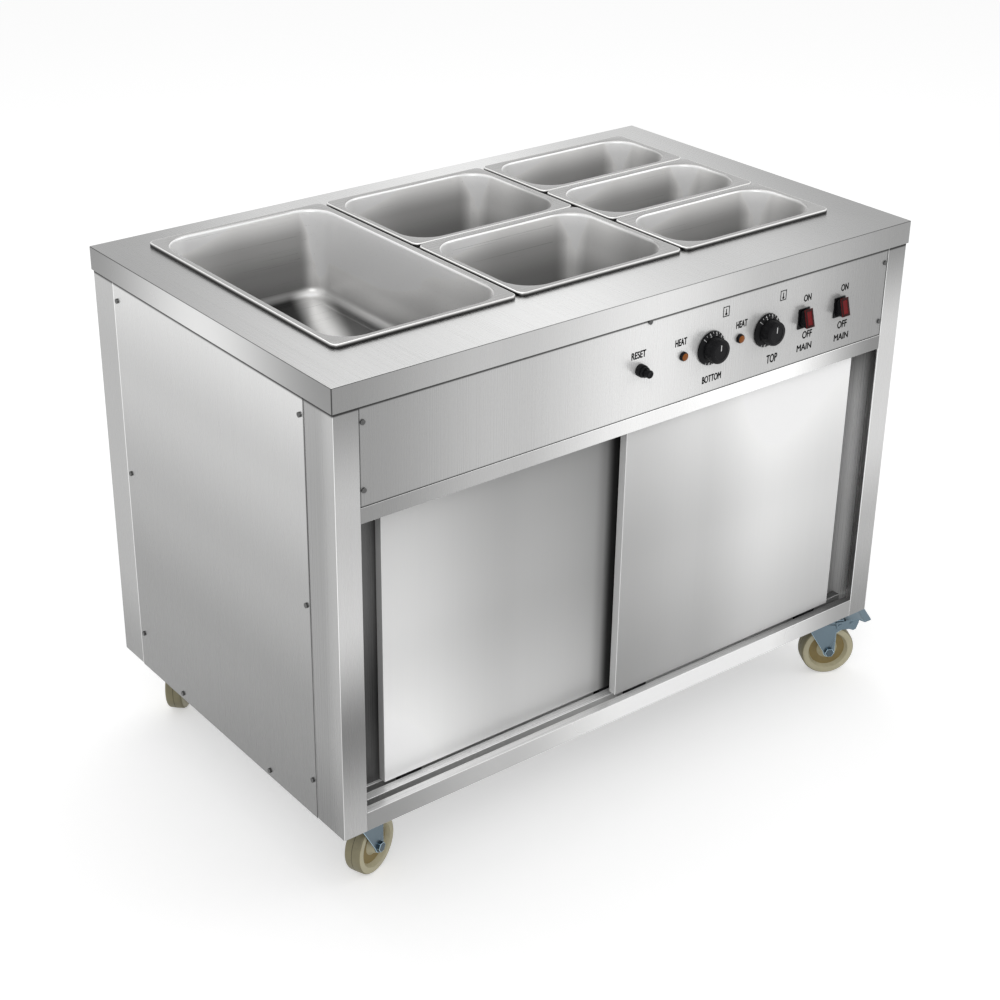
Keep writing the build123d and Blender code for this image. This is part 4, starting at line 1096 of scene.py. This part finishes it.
class BM_OT_legends(bpy.types.Operator):
    """Prints the plain legends on the control panel"""

    bl_idname = "bain_marie.legends"
    bl_label = "Legends"

    def execute(self, context):
        ink = moulded("black ink", (0.008, 0.008, 0.008), 0.6, shine=0.1)
        worktop_low, worktop_high = node_box("worktop")
        self.left = worktop_low.x
        self.top = worktop_high.z
        self.front = node_box("control_panel")[0].y
        marks = [
            self.word("RESET", 0.5503, 0.0913, 0.0285, 0.0112),
            self.word("HEAT", 0.6365, 0.0922, 0.0235, 0.0112),
            self.word("HEAT", 0.7650, 0.0930, 0.0235, 0.0112),
            self.word("BOTTOM", 0.7065, 0.1692, 0.0400, 0.0115),
            self.word("TOP", 0.8385, 0.1695, 0.0235, 0.0140),
            self.word("ON", 0.9105, 0.0829, 0.0165, 0.0112),
            self.word("ON", 0.9968, 0.0846, 0.0165, 0.0112),
            self.word("OFF", 0.9165, 0.1470, 0.0215, 0.0122),
            self.word("OFF", 0.9986, 0.1495, 0.0215, 0.0122),
            self.word("MAIN", 0.9120, 0.1680, 0.0330, 0.0110),
            self.word("MAIN", 0.9990, 0.1710, 0.0330, 0.0110),
            *self.gauge(0.7290, 0.0640),
            *self.gauge(0.8537, 0.0660),
        ]
        finish_piece(joined(marks), "panel_legends", ink, "cabinet", "black_plastic")
        return {"FINISHED"}

    def spot(self, x, drop):
        """A place on the panel, from the worktop's left end and top."""
        gap = 0.00005
        corner = (self.left + x, self.front - gap, self.top - drop)
        return Matrix.Translation(corner) @ FACING_FRONT

    def word(self, text, x, drop, width, height):
        """A bold word that fills its width and height."""
        label = flat_text(text, height, INK_HEIGHT)
        corners = [Vector(corner) for corner in label.bound_box]
        span = max(c.x for c in corners) - min(c.x for c in corners)
        rise = max(c.y for c in corners) - min(c.y for c in corners)
        middle = sum(corners, Vector()) / 8
        fit = Matrix.Diagonal((width / span, height / rise, 1, 1)) @ Matrix.Translation(-middle)
        place(label, fit)
        bold = sizes().letter_weight
        shifts = ((0, 0), (bold, 0), (-bold, 0), (0, bold), (0, -bold))
        strokes = [copy_of(label, Matrix.Translation((a, b, 0))) for a, b in shifts]
        bpy.data.objects.remove(label)
        label = joined(strokes)
        place(label, self.spot(x, drop))
        return label

    def gauge(self, x, drop):
        """A framed thermometer drawn with plain strokes."""
        half_x, half_y, line = 0.0068, 0.0085, 0.0015
        strokes = [
            ((-half_x, half_y - line), (half_x, half_y)),
            ((-half_x, -half_y), (half_x, -half_y + line)),
            ((-half_x, -half_y), (-half_x + line, half_y)),
            ((half_x - line, -half_y), (half_x, half_y)),
            ((-0.0009, -0.0035), (0.0009, 0.0045)),
        ]
        marks = []
        for low, high in strokes:
            bar = block((*low, 0), (*high, INK_HEIGHT))
            place(bar, self.spot(x, drop))
            marks.append(bar)
        bulb_radius = 0.0023
        outline = [(0, 0), (bulb_radius, 0), (bulb_radius, INK_HEIGHT), (0, INK_HEIGHT)]
        bulb = turned(outline, 24)
        place(bulb, self.spot(x, drop) @ Matrix.Translation((0, -0.0040, 0)))
        return [*marks, bulb]


# Small metal and plastic pieces


class BM_OT_small_pieces(bpy.types.Operator):
    """Finishes the screws, guides, elements, tap and fittings"""

    bl_idname = "bain_marie.small_pieces"
    bl_label = "Small pieces"

    def execute(self, context):
        black = bpy.data.materials["black moulding"]
        screw = satin_steel("screw steel", "Z", rest=0.12, roughness=0.35, bends=1.0)
        glint = satin_steel("screw glint", "Z", rest=0.5, roughness=0.3, bends=1.0)
        white = moulded("white nylon", (0.72, 0.72, 0.70), 0.45)
        dark = satin_steel("element steel", "X", rest=0.16, roughness=0.45, streak=0.1)
        nickel = (0.66, 0.63, 0.56)
        plated = satin_steel("nickel plate", "Z", rest=1.0, roughness=0.22, colour=nickel)
        for node, material in (
            ("panel_screws", screw),
            ("left_door_glides", black),
            ("right_door_glides", black),
            ("well_heating_element", dark),
            ("cupboard_heating_element", dark),
            ("drain_tap", plated),
            ("drain_lever", black),
            ("cable_gland", black),
            ("thermostats", black),
            ("terminal_block", white),
        ):
            rounded = dict(bevel=0.0008, edges=glint) if node == "panel_screws" else {}
            smooth_copy(node, f"{node}_finished", material, **rounded)
        return {"FINISHED"}


# Stage


class BM_OT_stage(bpy.types.Operator):
    """Sets the floor, the lights, the world and the camera"""

    bl_idname = "bain_marie.stage"
    bl_label = "Stage"

    def execute(self, context):
        self.floor()
        self.world()
        self.lights()
        self.camera()
        view = context.scene.view_settings
        view.view_transform = "Standard"
        return {"FINISHED"}

    def floor(self):
        deselect()
        bpy.ops.mesh.primitive_plane_add(size=60, location=(0, 0, 0))
        floor = bpy.context.object
        floor.name = "floor"
        material, shader = new_material("white floor", (0.8, 0.8, 0.8), 0, 0.9)
        shader.inputs["Specular IOR Level"].default_value = 0
        glow = self.seen(material, 0.42)
        material.node_tree.links.new(glow, shader.inputs["Emission Strength"])
        shader.inputs["Emission Color"].default_value = (1, 1, 1, 1)
        floor.data.materials.append(material)

    def seen(self, material, strength):
        """A strength for rays from the camera, gloss and clear pieces only."""
        path = add_node(material, "ShaderNodeLightPath").outputs
        seen = calculate(material, "ADD", path["Is Camera Ray"], path["Is Glossy Ray"])
        seen = calculate(material, "ADD", seen, path["Is Transmission Ray"])
        return multiply(material, calculate(material, "MINIMUM", seen, 1.0), strength)

    def world(self):
        world = bpy.data.worlds.new("studio")
        bpy.context.scene.world = world
        world.use_nodes = True
        background = world.node_tree.nodes["Background"]
        background.inputs["Color"].default_value = (1, 1, 1, 1)
        light_level = 0.65
        strength = calculate(world, "ADD", self.seen(world, 1 - light_level), light_level)
        world.node_tree.links.new(strength, background.inputs["Strength"])

    def lights(self):
        for name, spot, aim, size, power in (
            ("key light", (-2.6, -3.0, 3.4), (0, 0, 0.5), 2.2, 36),
            ("fill light", (3.2, -2.4, 2.6), (0, 0, 0.5), 2.4, 18),
            ("top light", (0.4, 1.4, 3.8), (0, 0, 0.6), 2.4, 24),
        ):
            deselect()
            bpy.ops.object.light_add(type="AREA", location=spot)
            lamp = bpy.context.object
            lamp.name = name
            lamp.data.size = size
            lamp.data.energy = power
            away = Vector(spot) - Vector(aim)
            lamp.rotation_euler = away.to_track_quat("Z", "Y").to_euler()

    def camera(self):
        eye = (-1.8031, -2.2542, 1.8862)
        azimuth, elevation, roll = radians(-37.182), radians(26.334), radians(0.268)
        deselect()
        bpy.ops.object.camera_add(location=(0, 0, 0))
        camera = bpy.context.object
        camera.matrix_world = (
            Matrix.Translation(eye)
            @ Matrix.Rotation(azimuth, 4, "Z")
            @ Matrix.Rotation(pi / 2 - elevation, 4, "X")
            @ Matrix.Rotation(roll, 4, "Z")
        )
        camera.data.sensor_width = 36
        camera.data.lens = 68.02
        camera.data.shift_x = 0.03847
        camera.data.shift_y = -0.0344
        camera.data.clip_end = 100
        bpy.context.scene.camera = camera


class BM_PT_panel(bpy.types.Panel):
    """Lists the steps that build the bain marie"""

    bl_idname = "BM_PT_panel"
    bl_label = "Bain marie"
    bl_space_type = "VIEW_3D"
    bl_region_type = "UI"
    bl_category = "Bain marie"

    def draw(self, context):
        for step in STEPS:
            self.layout.operator(step.bl_idname)


STEPS = (
    BM_OT_stage,
    BM_OT_sheets,
    BM_OT_pans,
    BM_OT_castors,
    BM_OT_controls,
    BM_OT_legends,
    BM_OT_small_pieces,
)
CLASSES = (BainMarieSizes, BainMarieFinishes, *STEPS, BM_PT_panel)


def register():
    for entry in CLASSES:
        bpy.utils.register_class(entry)
    bpy.types.Scene.bain_marie_sizes = bpy.props.PointerProperty(type=BainMarieSizes)
    bpy.types.Scene.bain_marie_finishes = bpy.props.PointerProperty(type=BainMarieFinishes)


def unregister():
    del bpy.types.Scene.bain_marie_sizes
    del bpy.types.Scene.bain_marie_finishes
    for entry in reversed(CLASSES):
        bpy.utils.unregister_class(entry)


def main():
    register()
    for step in STEPS:
        group, name = step.bl_idname.split(".")
        getattr(getattr(bpy.ops, group), name)()
    deselect()


if __name__ == "__main__":
    main()
